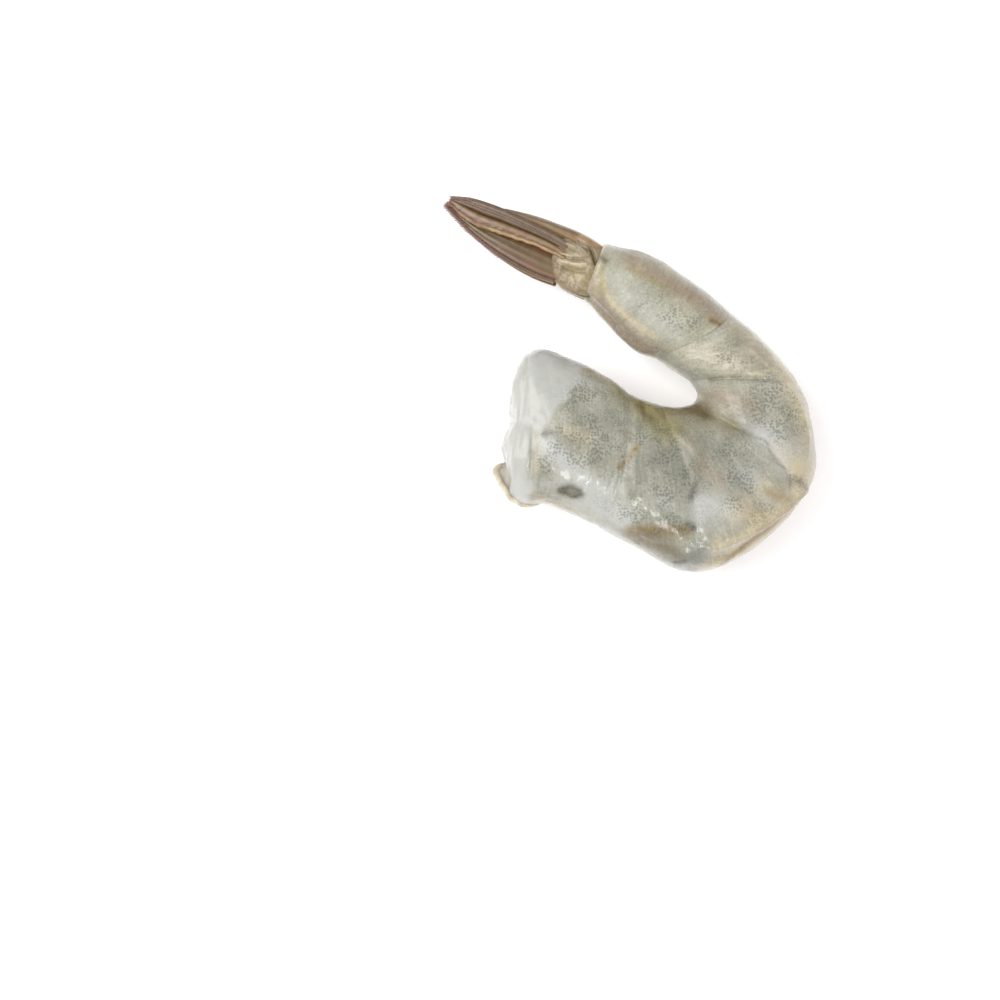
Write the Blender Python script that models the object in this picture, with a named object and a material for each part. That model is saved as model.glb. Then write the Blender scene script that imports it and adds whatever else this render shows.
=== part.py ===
"""Raw peeled shrimp: no head, peeled down to its last segment, tail fan left on.

It lies curled on its left flank. The plan is X to the right and Y away, measured from the
inner bend of the curl, and +Z is the flank that faces up. Plan sizes are in millimetres.
"""

import math
from collections import namedtuple

import bmesh
import bpy
from mathutils import Vector, noise

MM = 0.001

# Point of the plan that stands over the origin: the middle of the outline's box.
PLAN_CENTRE = (-10.91, 2.42)

# A rib is one slice across the body: its point on the back, its point on the belly,
# its thickness from flank to flank, and how high its underside lies.
Rib = namedtuple("Rib", "back belly thickness underside")
RIBS = (
    Rib((-30.6, -14.0), (-28.6, 5.2), 13.5, 0.5),
    Rib((-28.2, -16.3), (-25.6, 7.2), 15.5, -0.1),
    Rib((-23.8, -17.1), (-20.3, 5.8), 17.0, -0.4),
    Rib((-16.0, -20.7), (-14.2, 2.8), 17.6, -0.5),
    Rib((-9.3, -24.2), (-9.9, -0.1), 18.0, -0.5),
    Rib((-0.9, -28.0), (-6.4, -1.3), 18.0, -0.5),
    Rib((8.4, -24.2), (-2.9, -1.8), 17.6, -0.5),
    Rib((15.5, -17.6), (-0.8, -1.1), 17.0, -0.5),
    Rib((18.6, -11.7), (0.0, 0.0), 16.6, -0.4),
    Rib((18.1, -4.3), (-0.2, 1.1), 16.0, -0.4),
    Rib((16.2, 2.0), (-1.3, 2.6), 15.2, -0.4),
    Rib((10.9, 8.4), (-4.2, 4.8), 14.0, -0.3),
    Rib((4.8, 13.9), (-6.9, 6.4), 12.2, 0.5),
    Rib((-2.1, 19.0), (-10.6, 8.5), 11.2, 0.9),
    Rib((-8.0, 22.7), (-14.6, 12.5), 9.8, 1.6),
    Rib((-14.6, 24.2), (-17.6, 16.0), 8.4, 2.3),
)
HEAD_RIB = 0.0
SHELL_RIB = 12.0
REAR_RIB = 15.0

# How full a slice is (1 is an ellipse, less is fuller), and how far its crest leans to the back.
FULLNESS = 0.86
CREST_LEAN = 0.16

# Seams between the peeled segments: rib at the back, rib at the belly, bow towards the tail.
Seam = namedtuple("Seam", "back belly bow")
SEAMS = (
    Seam(3.0, 3.7, 0.2),
    Seam(4.9, 5.1, 0.3),
    Seam(7.0, 7.0, 0.65),
    Seam(10.0, 10.0, 0.1),
)
SEAM_DEPTH = 0.6
SEAM_WIDTH = 1.1
SEGMENT_BULGE = 0.5
BULGE_POWER = 0.7
# The first segment's bulge starts this many ribs ahead of the cut.
BULGE_START = -0.6
# Relief fades to this share along the back and the belly, and where slices crowd closer than this.
BACK_SHARE = 0.35
CROWDED_SPACING = 3.0
# Ribs on either side of a slice between which the spacing of slices is measured.
SPACING_STEP = 0.05

# Keel of the back: a shallow groove on each flank parts it off along the outside of the bend.
KEEL_GROOVE = 0.3
KEEL_ANGLE = 36.0
KEEL_SPREAD = 8.0
KEEL_RIBS = (3.2, 8.6)

# Soft unevenness of the meat: height and pitch of the broad and of the fine lumps.
BROAD_LUMP = 0.35
BROAD_PITCH = 9.0
FINE_LUMP = 0.12
FINE_PITCH = 3.5

# Lobes of the cut neck: rib, angle round the slice in degrees, radius and height.
Lobe = namedtuple("Lobe", "rib angle radius height")
NECK_LOBES = (
    Lobe(0.5, 140.0, 3.2, 0.9),
    Lobe(0.2, 60.0, 3.0, 0.7),
    Lobe(0.6, 8.0, 2.2, 0.8),
    Lobe(0.8, 215.0, 3.4, 0.7),
)
NECK_BULGE = 0.3
NECK_UNEVENNESS = 0.8
# The cut face curves over towards its middle: less is flatter.
NECK_ROUNDING = 0.8

# Lip of skin that stands out past the cut at the back: reach, spread in degrees and in ribs.
LIP_REACH = 1.9
LIP_ANGLE = 34.0
LIP_RIBS = 0.45

# The meat narrows into the shell over this many ribs, ends this far short of it, and is stepped in there.
TUCK_RIBS = 0.7
END_RIBS = 0.12
END_INSET = 0.4

# The shell stands proud of the meat that it holds, and touching pieces keep a small gap.
SHELL_STEP = 0.35
GAP = 0.3
RIM_GROOVE = 0.35
RIM_ANGLE = 152.0
RIM_SPREAD = 9.0
REAR_RIM = 0.25
REAR_RIM_RIBS = 0.12

# Shares of the way along where the closing faces of the meat and of the shell end and begin.
MEAT_NECK_SHARE = 0.07
MEAT_END_SHARE = 0.96
SHELL_FRONT_SHARE = 0.1
SHELL_REAR_SHARE = 0.88

# Tail fan: where it starts in plan, its heading, its droop, and the height of its middle plane.
FAN_START = (-18.1, 21.6)
FAN_HEADING = math.radians(155.1)
FAN_DROOP = math.radians(7.4)
FAN_HEIGHT = 6.4

# In the fan's own frame X runs to the tip, Y to the belly side and Z to the upper flank.
TELSON_FRONT = -1.9
TELSON_TIP = 15.4
TELSON_TOP = (-3.75, -2.6)
TELSON_DEPTH = (2.2, 0.5)
TELSON_WIDTH = (4.2, 0.6)
# How bluntly the spike's two ends close: less is blunter.
TELSON_ROUNDING = 0.35

BASE_FRONT = -2.05
BASE_REAR = 3.6
BASE_SIDE = (-1.3, 5.3)
BASE_TAPER = 0.05
BASE_HEIGHT = (0.15, 3.3)
BASE_SQUARENESS = 0.4
BASE_END_SQUARENESS = 0.2

BLADE_THICKNESS = 0.7
BLADE_RIB = 0.3
# Half width of a blade's rib as a share of the blade, and how fast the rib runs out at the tip.
BLADE_RIB_SHARE = 0.16
BLADE_RIB_RUN = 1.2
# Blade outlines: distance along the fan, edge on the back side, edge on the belly side.
INNER_BLADE = ((4.0, -1.8, 0.5), (9.0, -2.1, 0.7), (14.0, -2.3, 1.0), (19.0, -2.0, 1.3), (23.3, -1.5, -0.7))
OUTER_BLADE = ((4.0, 0.9, 5.3), (8.5, 0.4, 5.6), (13.0, 0.5, 4.7), (18.5, 0.8, 3.3), (24.6, 0.1, 0.9))
# Heights of each blade's back edge and belly edge over the middle plane, at its base and its tip.
INNER_HEIGHT = ((2.0, 2.0), (1.6, 1.6))
OUTER_HEIGHT = ((0.8, 1.9), (0.5, 0.9))

# Facets of each form: how many round it or across it, and how many along it.
MEAT_FACETS = (36, 84)
SHELL_FACETS = (30, 24)
TELSON_FACETS = (12, 16)
BASE_FACETS = (16, 12)
BLADE_FACETS = (5, 18)


def material(name, colour, roughness):
    """A plain finish of one colour."""
    finish = bpy.data.materials.new(name)
    finish.use_nodes = True
    shader = finish.node_tree.nodes["Principled BSDF"]
    shader.inputs["Base Color"].default_value = (*colour, 1.0)
    shader.inputs["Roughness"].default_value = roughness
    shader.inputs["Metallic"].default_value = 0.0
    return finish


def mixed(start, end, share):
    """The value a share of the way from start to end."""
    return start + (end - start) * share


def spline(values, place):
    """Smooth curve through equally spaced values, read at a place counted in values."""
    first = min(max(int(math.floor(place)), 0), len(values) - 2)
    share = place - first
    before = values[first - 1] if first > 0 else 2 * values[0] - values[1]
    start = values[first]
    end = values[first + 1]
    after = values[first + 2] if first + 2 < len(values) else 2 * values[-1] - values[-2]
    slope = (end - before) / 2
    slope_end = (after - start) / 2
    rise = end - start
    return (
        start
        + slope * share
        + (3 * rise - 2 * slope - slope_end) * share**2
        + (slope + slope_end - 2 * rise) * share**3
    )


def signed_power(value, power):
    """A power that keeps the sign of its value."""
    return math.copysign(abs(value) ** power, value)


def rib_point(side, place):
    """Plan point of the back or of the belly at a rib place."""
    return Vector([spline([getattr(rib, side)[axis] for rib in RIBS], place) for axis in (0, 1)])


def slice_point(place, angle, proud=0.0):
    """Point on the smooth body at a rib place, and the way it faces.

    Angle 0 is the back, 90 degrees the upper flank and 180 degrees the belly.
    """
    back = rib_point("back", place)
    belly = rib_point("belly", place)
    thickness = spline([rib.thickness for rib in RIBS], place)
    underside = spline([rib.underside for rib in RIBS], place)
    reach = (back - belly) / 2
    half_depth = reach.length
    outward = reach / half_depth
    along_back = signed_power(math.cos(angle), FULLNESS)
    rise = signed_power(math.sin(angle), FULLNESS) * (1 + CREST_LEAN * math.cos(angle))
    facing = Vector((
        outward.x * math.cos(angle) / half_depth,
        outward.y * math.cos(angle) / half_depth,
        math.sin(angle) * 2 / thickness,
    )).normalized()
    middle = (back + belly) / 2
    point = Vector((
        middle.x + reach.x * along_back,
        middle.y + reach.y * along_back,
        underside + thickness / 2 + thickness / 2 * rise,
    ))
    return point + facing * proud, facing


def seam_place(seam, angle):
    """Rib place where a seam crosses the body at an angle round it."""
    share = (1 - math.cos(angle)) / 2
    return mixed(seam.back, seam.belly, share) + seam.bow * math.sin(share * math.pi)


def segment_relief(place, angle):
    """Bulge of each peeled segment, less the groove at its seams."""
    ahead, _ = slice_point(place + SPACING_STEP, angle)
    behind, _ = slice_point(place - SPACING_STEP, angle)
    spacing = (ahead - behind).length / (2 * SPACING_STEP)
    edges = [BULGE_START] + [seam_place(seam, angle) for seam in SEAMS] + [SHELL_RIB]
    height = 0.0
    for start, end in zip(edges, edges[1:]):
        if start <= place <= end:
            height = SEGMENT_BULGE * math.sin(math.pi * (place - start) / (end - start)) ** BULGE_POWER
    for edge in edges[1:-1]:
        height -= SEAM_DEPTH * math.exp(-(((place - edge) * spacing / SEAM_WIDTH) ** 2))
    pinch = min(1.0, spacing / CROWDED_SPACING)
    fade = mixed(BACK_SHARE, 1.0, abs(math.sin(angle)))
    return height * pinch * fade


def keel_relief(place, angle):
    """Groove between each flank and the keel of the back."""
    start, end = KEEL_RIBS
    if not start < place < end:
        return 0.0
    from_groove = (math.degrees(min(angle, 2 * math.pi - angle)) - KEEL_ANGLE) / KEEL_SPREAD
    return -KEEL_GROOVE * math.exp(-(from_groove**2)) * math.sin(math.pi * (place - start) / (end - start))


def neck_relief(place, angle):
    """Lobes of meat round the cut neck."""
    centre, _ = slice_point(place, angle)
    height = 0.0
    for lobe in NECK_LOBES:
        crown, _ = slice_point(lobe.rib, math.radians(lobe.angle))
        height += lobe.height * math.exp(-(((centre - crown).length / lobe.radius) ** 2))
    return height


def lump_relief(point):
    """Soft unevenness of the meat."""
    broad = noise.noise(point / BROAD_PITCH) * BROAD_LUMP
    fine = noise.noise(point / FINE_PITCH) * FINE_LUMP
    return broad + fine


def meat_surface(place, angle):
    """Finished surface of the peeled meat, flat where it rests."""
    point, facing = slice_point(place, angle)
    height = segment_relief(place, angle) + keel_relief(place, angle)
    height += neck_relief(place, angle) + lump_relief(point)
    height *= min(1.0, (SHELL_RIB - place) / TUCK_RIBS)
    from_back = math.degrees(min(angle, 2 * math.pi - angle))
    lip = LIP_REACH * math.exp(-((from_back / LIP_ANGLE) ** 2) - (place / LIP_RIBS) ** 2)
    point = point + facing * height - heading(HEAD_RIB) * lip
    point.z = max(point.z, 0.0)
    return point


def shrunk(point, centre, scale):
    """A point drawn in towards a centre."""
    return centre + (point - centre) * scale


def slice_centre(place):
    """Middle of a slice."""
    return (slice_point(place, 0.0)[0] + slice_point(place, math.pi)[0]) / 2


def heading(place):
    """Level direction of the body towards the tail, square to its slice."""
    across = slice_point(place, 0.0)[0] - slice_point(place, math.pi)[0]
    return Vector((-across.y, across.x, 0.0)).normalized()


def meat_point(share, angle):
    """Place on the meat from the cut neck (0) to the end under the shell (1)."""
    if share < MEAT_NECK_SHARE:
        turn = share / MEAT_NECK_SHARE * math.pi / 2
        rim = meat_surface(HEAD_RIB, angle)
        centre = slice_centre(HEAD_RIB)
        point = shrunk(rim, centre, math.sin(turn) ** NECK_ROUNDING)
        dome = math.cos(turn) * (NECK_BULGE + noise.noise(point / FINE_PITCH) * NECK_UNEVENNESS)
        return point - heading(HEAD_RIB) * dome
    if share < MEAT_END_SHARE:
        body = (share - MEAT_NECK_SHARE) / (MEAT_END_SHARE - MEAT_NECK_SHARE)
        return meat_surface(mixed(HEAD_RIB, SHELL_RIB - END_RIBS, body), angle)
    cap = (share - MEAT_END_SHARE) / (1 - MEAT_END_SHARE)
    rim, _ = slice_point(SHELL_RIB, angle, -END_INSET * math.sqrt(cap))
    end = shrunk(rim, slice_centre(SHELL_RIB), 1 - cap)
    return end - heading(SHELL_RIB) * GAP


def shell_surface(place, angle):
    """Surface of the shell left on the sixth segment, with its groove over the lower rim."""
    from_rim = math.degrees(angle) - RIM_ANGLE
    groove = RIM_GROOVE * math.exp(-((from_rim / RIM_SPREAD) ** 2))
    under_groove = RIM_GROOVE * math.exp(-(((from_rim - 2 * (180.0 - RIM_ANGLE)) / RIM_SPREAD) ** 2))
    rear = REAR_RIM * math.exp(-(((REAR_RIB - place) / REAR_RIM_RIBS) ** 2))
    point, _ = slice_point(place, angle, SHELL_STEP - groove - under_groove + rear)
    return point


def shell_point(share, angle):
    """Place on the tail shell from its front edge (0) to its rear (1)."""
    if share < SHELL_FRONT_SHARE:
        rim = shell_surface(SHELL_RIB, angle)
        return shrunk(rim, slice_centre(SHELL_RIB), share / SHELL_FRONT_SHARE)
    if share < SHELL_REAR_SHARE:
        body = (share - SHELL_FRONT_SHARE) / (SHELL_REAR_SHARE - SHELL_FRONT_SHARE)
        return shell_surface(mixed(SHELL_RIB, REAR_RIB, body), angle)
    cap = (share - SHELL_REAR_SHARE) / (1 - SHELL_REAR_SHARE)
    return shrunk(shell_surface(REAR_RIB, angle), slice_centre(REAR_RIB), 1 - cap)


def telson_point(share, angle):
    """Place on the telson, the pointed spike along the back of the fan."""
    along = (1 - math.cos(share * math.pi)) / 2
    swell = math.sin(share * math.pi) ** TELSON_ROUNDING
    top = mixed(*TELSON_TOP, along)
    depth = mixed(*TELSON_DEPTH, along)
    width = mixed(*TELSON_WIDTH, along)
    across = math.sin(angle) * width / 2 * swell
    down = top + depth / 2 - math.cos(angle) * depth / 2 * swell
    return Vector((mixed(TELSON_FRONT, TELSON_TIP, along), down, across))


def base_point(share, angle):
    """Place on the jointed base that carries two blades, a squarish block with round edges."""
    turn = share * math.pi
    centre = Vector(((BASE_FRONT + BASE_REAR) / 2, sum(BASE_SIDE) / 2, sum(BASE_HEIGHT) / 2))
    half = Vector((
        (BASE_REAR - BASE_FRONT) / 2,
        (BASE_SIDE[1] - BASE_SIDE[0]) / 2,
        (BASE_HEIGHT[1] - BASE_HEIGHT[0]) / 2,
    ))
    girth = signed_power(math.sin(turn), BASE_SQUARENESS)
    along = -signed_power(math.cos(turn), BASE_END_SQUARENESS)
    side = signed_power(math.cos(angle), BASE_SQUARENESS) * girth
    up = signed_power(math.sin(angle), BASE_SQUARENESS) * girth
    thinning = 1 - BASE_TAPER * (along + 1)
    return centre + Vector((half.x * along, half.y * side * thinning, half.z * up * thinning))


def warped_ball(name, facets, place, finish, parent):
    """A ball whose two poles become the ends of a body, and whose rings become its slices."""
    around, along = facets
    mesh = bpy.data.meshes.new(name)
    ball = bmesh.new()
    bmesh.ops.create_uvsphere(ball, u_segments=around, v_segments=along, radius=1.0)
    for vertex in ball.verts:
        share = math.acos(max(-1.0, min(1.0, vertex.co.z))) / math.pi
        angle = math.atan2(vertex.co.y, vertex.co.x) % (2 * math.pi)
        vertex.co = place(round(share * along) / along, angle)
    return finished(name, mesh, ball, finish, parent)


def blade(name, outline, heights, side, finish, parent):
    """A thin wavy leaf with a raised rib, made from a flat grid and given its thickness."""
    across, along = BLADE_FACETS
    mesh = bpy.data.meshes.new(name)
    leaf = bmesh.new()
    bmesh.ops.create_grid(leaf, x_segments=along, y_segments=across, size=0.5)
    for vertex in leaf.verts:
        run = vertex.co.x + 0.5
        cross = vertex.co.y + 0.5
        spot = run * (len(outline) - 1)
        back_edge = spline([stop[1] for stop in outline], spot)
        belly_edge = spline([stop[2] for stop in outline], spot)
        base_height = mixed(*heights[0], cross)
        tip_height = mixed(*heights[1], cross)
        rib = BLADE_RIB * math.exp(-(((cross - 0.5) / BLADE_RIB_SHARE) ** 2))
        rib *= math.sin(math.pi * min(run * BLADE_RIB_RUN, 1.0))
        vertex.co = Vector((
            spline([stop[0] for stop in outline], spot),
            mixed(back_edge, belly_edge, cross),
            side * (mixed(base_height, tip_height, run) + rib),
        ))
    bmesh.ops.triangulate(leaf, faces=leaf.faces)
    piece = finished(name, mesh, leaf, finish, parent)
    thickness = piece.modifiers.new("thickness", "SOLIDIFY")
    thickness.thickness = BLADE_THICKNESS * MM
    thickness.offset = 0.0
    return piece


def finished(name, mesh, shape, finish, parent):
    """Turn a shape in millimetres into a named object with its finish."""
    if all(edge.is_manifold for edge in shape.edges) and shape.calc_volume(signed=True) < 0:
        bmesh.ops.reverse_faces(shape, faces=shape.faces)
    bmesh.ops.scale(shape, vec=(MM, MM, MM), verts=shape.verts)
    shape.to_mesh(mesh)
    shape.free()
    mesh.shade_smooth()
    mesh.materials.append(finish)
    piece = bpy.data.objects.new(name, mesh)
    bpy.context.collection.objects.link(piece)
    piece.parent = parent
    return piece


def anchor(name, location, rotation=(0.0, 0.0, 0.0), parent=None):
    """An empty that places the pieces hung from it."""
    empty = bpy.data.objects.new(name, None)
    bpy.context.collection.objects.link(empty)
    empty.location = location
    empty.rotation_euler = rotation
    empty.parent = parent
    return empty


def clear_scene():
    """Start from an empty scene."""
    for thing in list(bpy.data.objects):
        bpy.data.objects.remove(thing, do_unlink=True)


def build():
    """Make the whole shrimp."""
    clear_scene()
    plan = anchor("plan", (-PLAN_CENTRE[0] * MM, -PLAN_CENTRE[1] * MM, 0.0))
    fan = anchor(
        "fan",
        (FAN_START[0] * MM, FAN_START[1] * MM, FAN_HEIGHT * MM),
        (0.0, FAN_DROOP, FAN_HEADING),
        plan,
    )

    flesh = material("raw_flesh", (0.62, 0.62, 0.56), 0.3)
    shell = material("tail_shell", (0.47, 0.44, 0.35), 0.25)
    horn = material("fan_horn", (0.26, 0.18, 0.12), 0.35)
    joint = material("fan_joint", (0.50, 0.41, 0.28), 0.35)

    warped_ball("peeled_meat", MEAT_FACETS, meat_point, flesh, plan)
    warped_ball("sixth_segment_shell", SHELL_FACETS, shell_point, shell, plan)
    warped_ball("telson", TELSON_FACETS, telson_point, horn, fan)

    for name, side in (("upper", 1), ("lower", -1)):
        def side_base(share, angle, side=side):
            point = base_point(share, angle)
            return Vector((point.x, point.y, point.z * side))

        warped_ball(f"{name}_fan_base", BASE_FACETS, side_base, joint, fan)
        blade(f"{name}_inner_blade", INNER_BLADE, INNER_HEIGHT, side, horn, fan)
        blade(f"{name}_outer_blade", OUTER_BLADE, OUTER_HEIGHT, side, horn, fan)


build()
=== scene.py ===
"""Raw peeled shrimp: the wet, dotted meat, the last segment's shell and the folded tail fan.

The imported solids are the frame. Every piece here replaces one of them with its real surface.
Plan sizes are in millimetres from the inner bend of the curl, X to the right and Y away, as in
the solids' own source, and PLAN_CENTRE is the point of that plan over the frame's origin.
"""

from __future__ import annotations

import logging
import math
import random
from dataclasses import dataclass, field
from enum import Enum

import bpy
import numpy as np
from mathutils import Euler, Matrix, Vector, noise

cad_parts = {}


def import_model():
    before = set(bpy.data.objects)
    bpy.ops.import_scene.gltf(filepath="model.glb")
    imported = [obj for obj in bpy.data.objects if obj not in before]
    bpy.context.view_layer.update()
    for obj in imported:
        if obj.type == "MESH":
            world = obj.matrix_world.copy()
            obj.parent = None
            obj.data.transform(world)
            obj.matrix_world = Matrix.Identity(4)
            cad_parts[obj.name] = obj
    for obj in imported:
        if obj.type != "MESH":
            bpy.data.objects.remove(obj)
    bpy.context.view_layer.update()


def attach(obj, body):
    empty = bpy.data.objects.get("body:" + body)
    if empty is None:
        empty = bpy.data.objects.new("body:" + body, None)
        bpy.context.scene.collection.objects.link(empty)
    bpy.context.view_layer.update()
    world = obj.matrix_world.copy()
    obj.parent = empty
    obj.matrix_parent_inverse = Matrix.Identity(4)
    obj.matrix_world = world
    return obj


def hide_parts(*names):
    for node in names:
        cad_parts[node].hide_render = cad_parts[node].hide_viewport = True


LOG = logging.getLogger("shrimp")

MM = 0.001
PLAN_CENTRE = (-10.91, 2.42)
BODY = "root"
SAME_PLACE = 1e-7
NO_SEAM = 9.0
LINE_STEPS = 8
WATER_IOR = 1.33
HORN_IOR = 1.5

Point = tuple[float, float]
Number = float | np.ndarray
Sockets = dict[str, bpy.types.NodeSocket]
Lines = tuple[tuple[tuple[Point, ...], float, float], ...]


# Plain helpers


def linear(hex_colour: str) -> tuple[float, float, float, float]:
    """Turn an sRGB hex colour into a linear one.

    Args:
        hex_colour: Six hex digits, such as "B4B6A8".

    Returns:
        Red, green, blue and an alpha of 1.
    """
    parts = [int(hex_colour[start : start + 2], 16) / 255 for start in (0, 2, 4)]
    values = [part / 12.92 if part <= 0.04045 else ((part + 0.055) / 1.055) ** 2.4 for part in parts]
    return (values[0], values[1], values[2], 1.0)


def plug(node: bpy.types.Node, inputs: dict) -> None:
    """Give a node's inputs their values, or link them where the value is another node's output.

    Args:
        node: The node.
        inputs: A value or an output socket for each input, by its name or number.
    """
    for place, value in inputs.items():
        if isinstance(value, bpy.types.NodeSocket):
            node.id_data.links.new(value, node.inputs[place])
        else:
            node.inputs[place].default_value = value


def add_node(tree: bpy.types.NodeTree, kind: str, inputs: dict | None = None, out: str | int = 0,
             **settings: str | bool) -> bpy.types.NodeSocket:
    """Add a node with its settings, values and links.

    Args:
        tree: The node tree to add to.
        kind: The node's type name, without the words ShaderNode before it.
        inputs: A value or an output socket for each input, by its name or number.
        out: The output to give back, by its name or number.
        settings: Properties of the node.

    Returns:
        That output.
    """
    new = tree.nodes.new(f"ShaderNode{kind}")
    for name, value in settings.items():
        setattr(new, name, value)
    plug(new, inputs or {})
    return new.outputs[out]


def new_finish(name: str) -> tuple[bpy.types.Material, bpy.types.NodeTree, bpy.types.Node]:
    """Add a material.

    Args:
        name: Its name.

    Returns:
        The material, its node tree and its surface shader.
    """
    finish = bpy.data.materials.new(name)
    finish.use_nodes = True
    return finish, finish.node_tree, finish.node_tree.nodes["Principled BSDF"]


def deselect_all() -> None:
    """Leave every object unselected."""
    bpy.ops.object.select_all(action="DESELECT")


def make_active(piece: bpy.types.Object) -> None:
    """Select one object alone and make it active."""
    deselect_all()
    piece.select_set(True)
    bpy.context.view_layer.objects.active = piece


def read_points(piece: bpy.types.Object) -> np.ndarray:
    """Read all vertex places of a piece.

    Args:
        piece: The piece.

    Returns:
        One row of three for each vertex.
    """
    flat = np.empty(len(piece.data.vertices) * 3)
    piece.data.vertices.foreach_get("co", flat)
    return flat.reshape(-1, 3)


def write_points(piece: bpy.types.Object, points: np.ndarray) -> None:
    """Move every vertex of a piece to its row of points."""
    piece.data.vertices.foreach_set("co", points.astype(np.float32).ravel())
    piece.data.update()


def store_values(piece: bpy.types.Object, name: str, values: np.ndarray) -> None:
    """Keep one number for each vertex as a named attribute."""
    layer = piece.data.attributes.new(name, "FLOAT", "POINT")
    layer.data.foreach_set("value", values.astype(np.float32))


def store_places(piece: bpy.types.Object, name: str, places: np.ndarray) -> None:
    """Keep one place for each vertex as a named attribute."""
    layer = piece.data.attributes.new(name, "FLOAT_VECTOR", "POINT")
    layer.data.foreach_set("vector", places.astype(np.float32).ravel())


def apply_modifiers(piece: bpy.types.Object) -> None:
    """Apply every modifier of a piece in order.

    Args:
        piece: The piece.
    """
    make_active(piece)
    for modifier in list(piece.modifiers):
        bpy.ops.object.modifier_apply(modifier=modifier.name)


def thicken(piece: bpy.types.Object, thickness: float) -> None:
    """Give a sheet its wall, half of it to each side.

    Args:
        piece: The sheet.
        thickness: The wall in millimetres.
    """
    wall = piece.modifiers.new("thickness", "SOLIDIFY")
    wall.thickness = thickness * MM
    wall.offset = 0.0
    apply_modifiers(piece)


def face_outwards(piece: bpy.types.Object) -> None:
    """Merge doubles, then turn every face outwards.

    Args:
        piece: The piece, in object mode.
    """
    make_active(piece)
    bpy.ops.object.mode_set(mode="EDIT")
    bpy.ops.mesh.select_all(action="SELECT")
    bpy.ops.mesh.remove_doubles(threshold=SAME_PLACE)
    bpy.ops.mesh.normals_make_consistent(inside=False)
    bpy.ops.object.mode_set(mode="OBJECT")


def way_between(low: Number, high: Number, values: np.ndarray) -> np.ndarray:
    """How far the values are on the way from low (0) to high (1)."""
    return (values - low) / (high - low)


def smoothstep(low: float, high: float, values: np.ndarray) -> np.ndarray:
    """Soft rise from 0 at low to 1 at high."""
    share = np.clip(way_between(low, high, values), 0.0, 1.0)
    return share * share * (3 - 2 * share)


def bell(values: np.ndarray, width: float) -> np.ndarray:
    """Soft hump of height 1 where the values are 0, fading over a width."""
    return np.exp(-((values / width) ** 2))


def signed_power(values: np.ndarray, power: float) -> np.ndarray:
    """A power that keeps the sign of its values."""
    return np.sign(values) * np.abs(values) ** power


def mixed(start: Number, end: Number, share: Number) -> Number:
    """The value a share of the way from start to end, for numbers or arrays."""
    return start + (end - start) * share


def read_spline(values: tuple | list, place: np.ndarray) -> np.ndarray:
    """Smooth curve through equally spaced values.

    Args:
        values: The values that the curve passes through.
        place: Where it is read, counted in values.

    Returns:
        The curve's values at those places.
    """
    knots = np.asarray(values, dtype=float)
    padded = np.concatenate(([2 * knots[0] - knots[1]], knots, [2 * knots[-1] - knots[-2]]))
    first = np.clip(np.floor(place).astype(int), 0, len(knots) - 2)
    share = place - first
    before = padded[first]
    start = padded[first + 1]
    end = padded[first + 2]
    after = padded[first + 3]
    slope = (end - before) / 2
    slope_end = (after - start) / 2
    rise = end - start
    return (
        start
        + slope * share
        + (3 * rise - 2 * slope - slope_end) * share**2
        + (slope + slope_end - 2 * rise) * share**3
    )


def noise_at(points: np.ndarray, pitch: float, seed: float = 0.0) -> np.ndarray:
    """Smooth noise between -1 and 1.

    Args:
        points: Places in millimetres, one row each.
        pitch: Size of one lump in millimetres.
        seed: Shift that gives another pattern of the same pitch.

    Returns:
        One value for each place.
    """
    shift = Vector((seed * 17.3, seed * 5.1, seed * 9.7))
    return np.array([noise.noise(Vector(point) / pitch + shift) for point in points])


def lumpy(points: np.ndarray, lumps: tuple[tuple[float, float, float], ...]) -> np.ndarray:
    """Sum of several noises, each given as its pitch, its height and its seed."""
    return sum(noise_at(points, pitch, seed) * rise for pitch, rise, seed in lumps)


def line_distance(points: np.ndarray, line: tuple[Point, ...]) -> np.ndarray:
    """Distance in plan from each point to a smooth line through a few places.

    Args:
        points: Places in millimetres, one row each.
        line: The plan places that the line passes through.

    Returns:
        Distances in millimetres.
    """
    steps = np.linspace(0, len(line) - 1, (len(line) - 1) * LINE_STEPS + 1)
    curve = np.stack([read_spline([place[axis] for place in line], steps) for axis in (0, 1)], axis=1)
    nearest = np.full(len(points), math.inf)
    for start, end in zip(curve, curve[1:]):
        run = end - start
        offset = points[:, :2] - start
        share = np.clip(offset @ run / (run @ run), 0.0, 1.0)
        nearest = np.minimum(nearest, np.linalg.norm(offset - share[:, None] * run, axis=1))
    return nearest


# Forms shared by the pieces


@dataclass(frozen=True)
class Rib:
    """One slice across the body: back and belly in plan, thickness, and height of its underside."""

    back: Point
    belly: Point
    thickness: float
    underside: float


@dataclass(frozen=True)
class Seam:
    """Where a seam between segments crosses the body, in ribs, with its bow towards the tail."""

    back: float
    belly: float
    bow: float
    depth_share: float


class Stain(Enum):
    """Tints of the skin, each kept as an attribute that its finish reads. White also lays painted sheen and
    highlights on the meat, grey one painted glint on the neck's lip, and dark one painted shadow in a gap on
    the meat.
    """

    GREY = "grey"
    LILAC = "lilac"
    # The flesh's own milky white, and on the meat also painted sheen and highlights.
    WHITE = "white"
    CREAM = "cream"
    TAN = "tan"
    YELLOW = "yellow"
    OLIVE = "olive"
    DOTS = "dots"
    # Bruised spots and dark marks, and on the meat also one painted shadow.
    DARK = "dark"


@dataclass(frozen=True)
class Stroke:
    """A soft stroke of one stain along a plan line: its half width and its strength."""

    stain: Stain
    line: tuple[Point, ...]
    width: float
    strength: float

    def weight(self, points: np.ndarray) -> np.ndarray:
        """How strongly the stroke shows at each point."""
        return self.strength * bell(line_distance(points, self.line), self.width)


def strokes_of(stain: Stain, lines: Lines) -> tuple[Stroke, ...]:
    """Strokes of one stain, each given as its line, half width and strength."""
    return tuple(Stroke(stain, *line) for line in lines)


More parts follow.
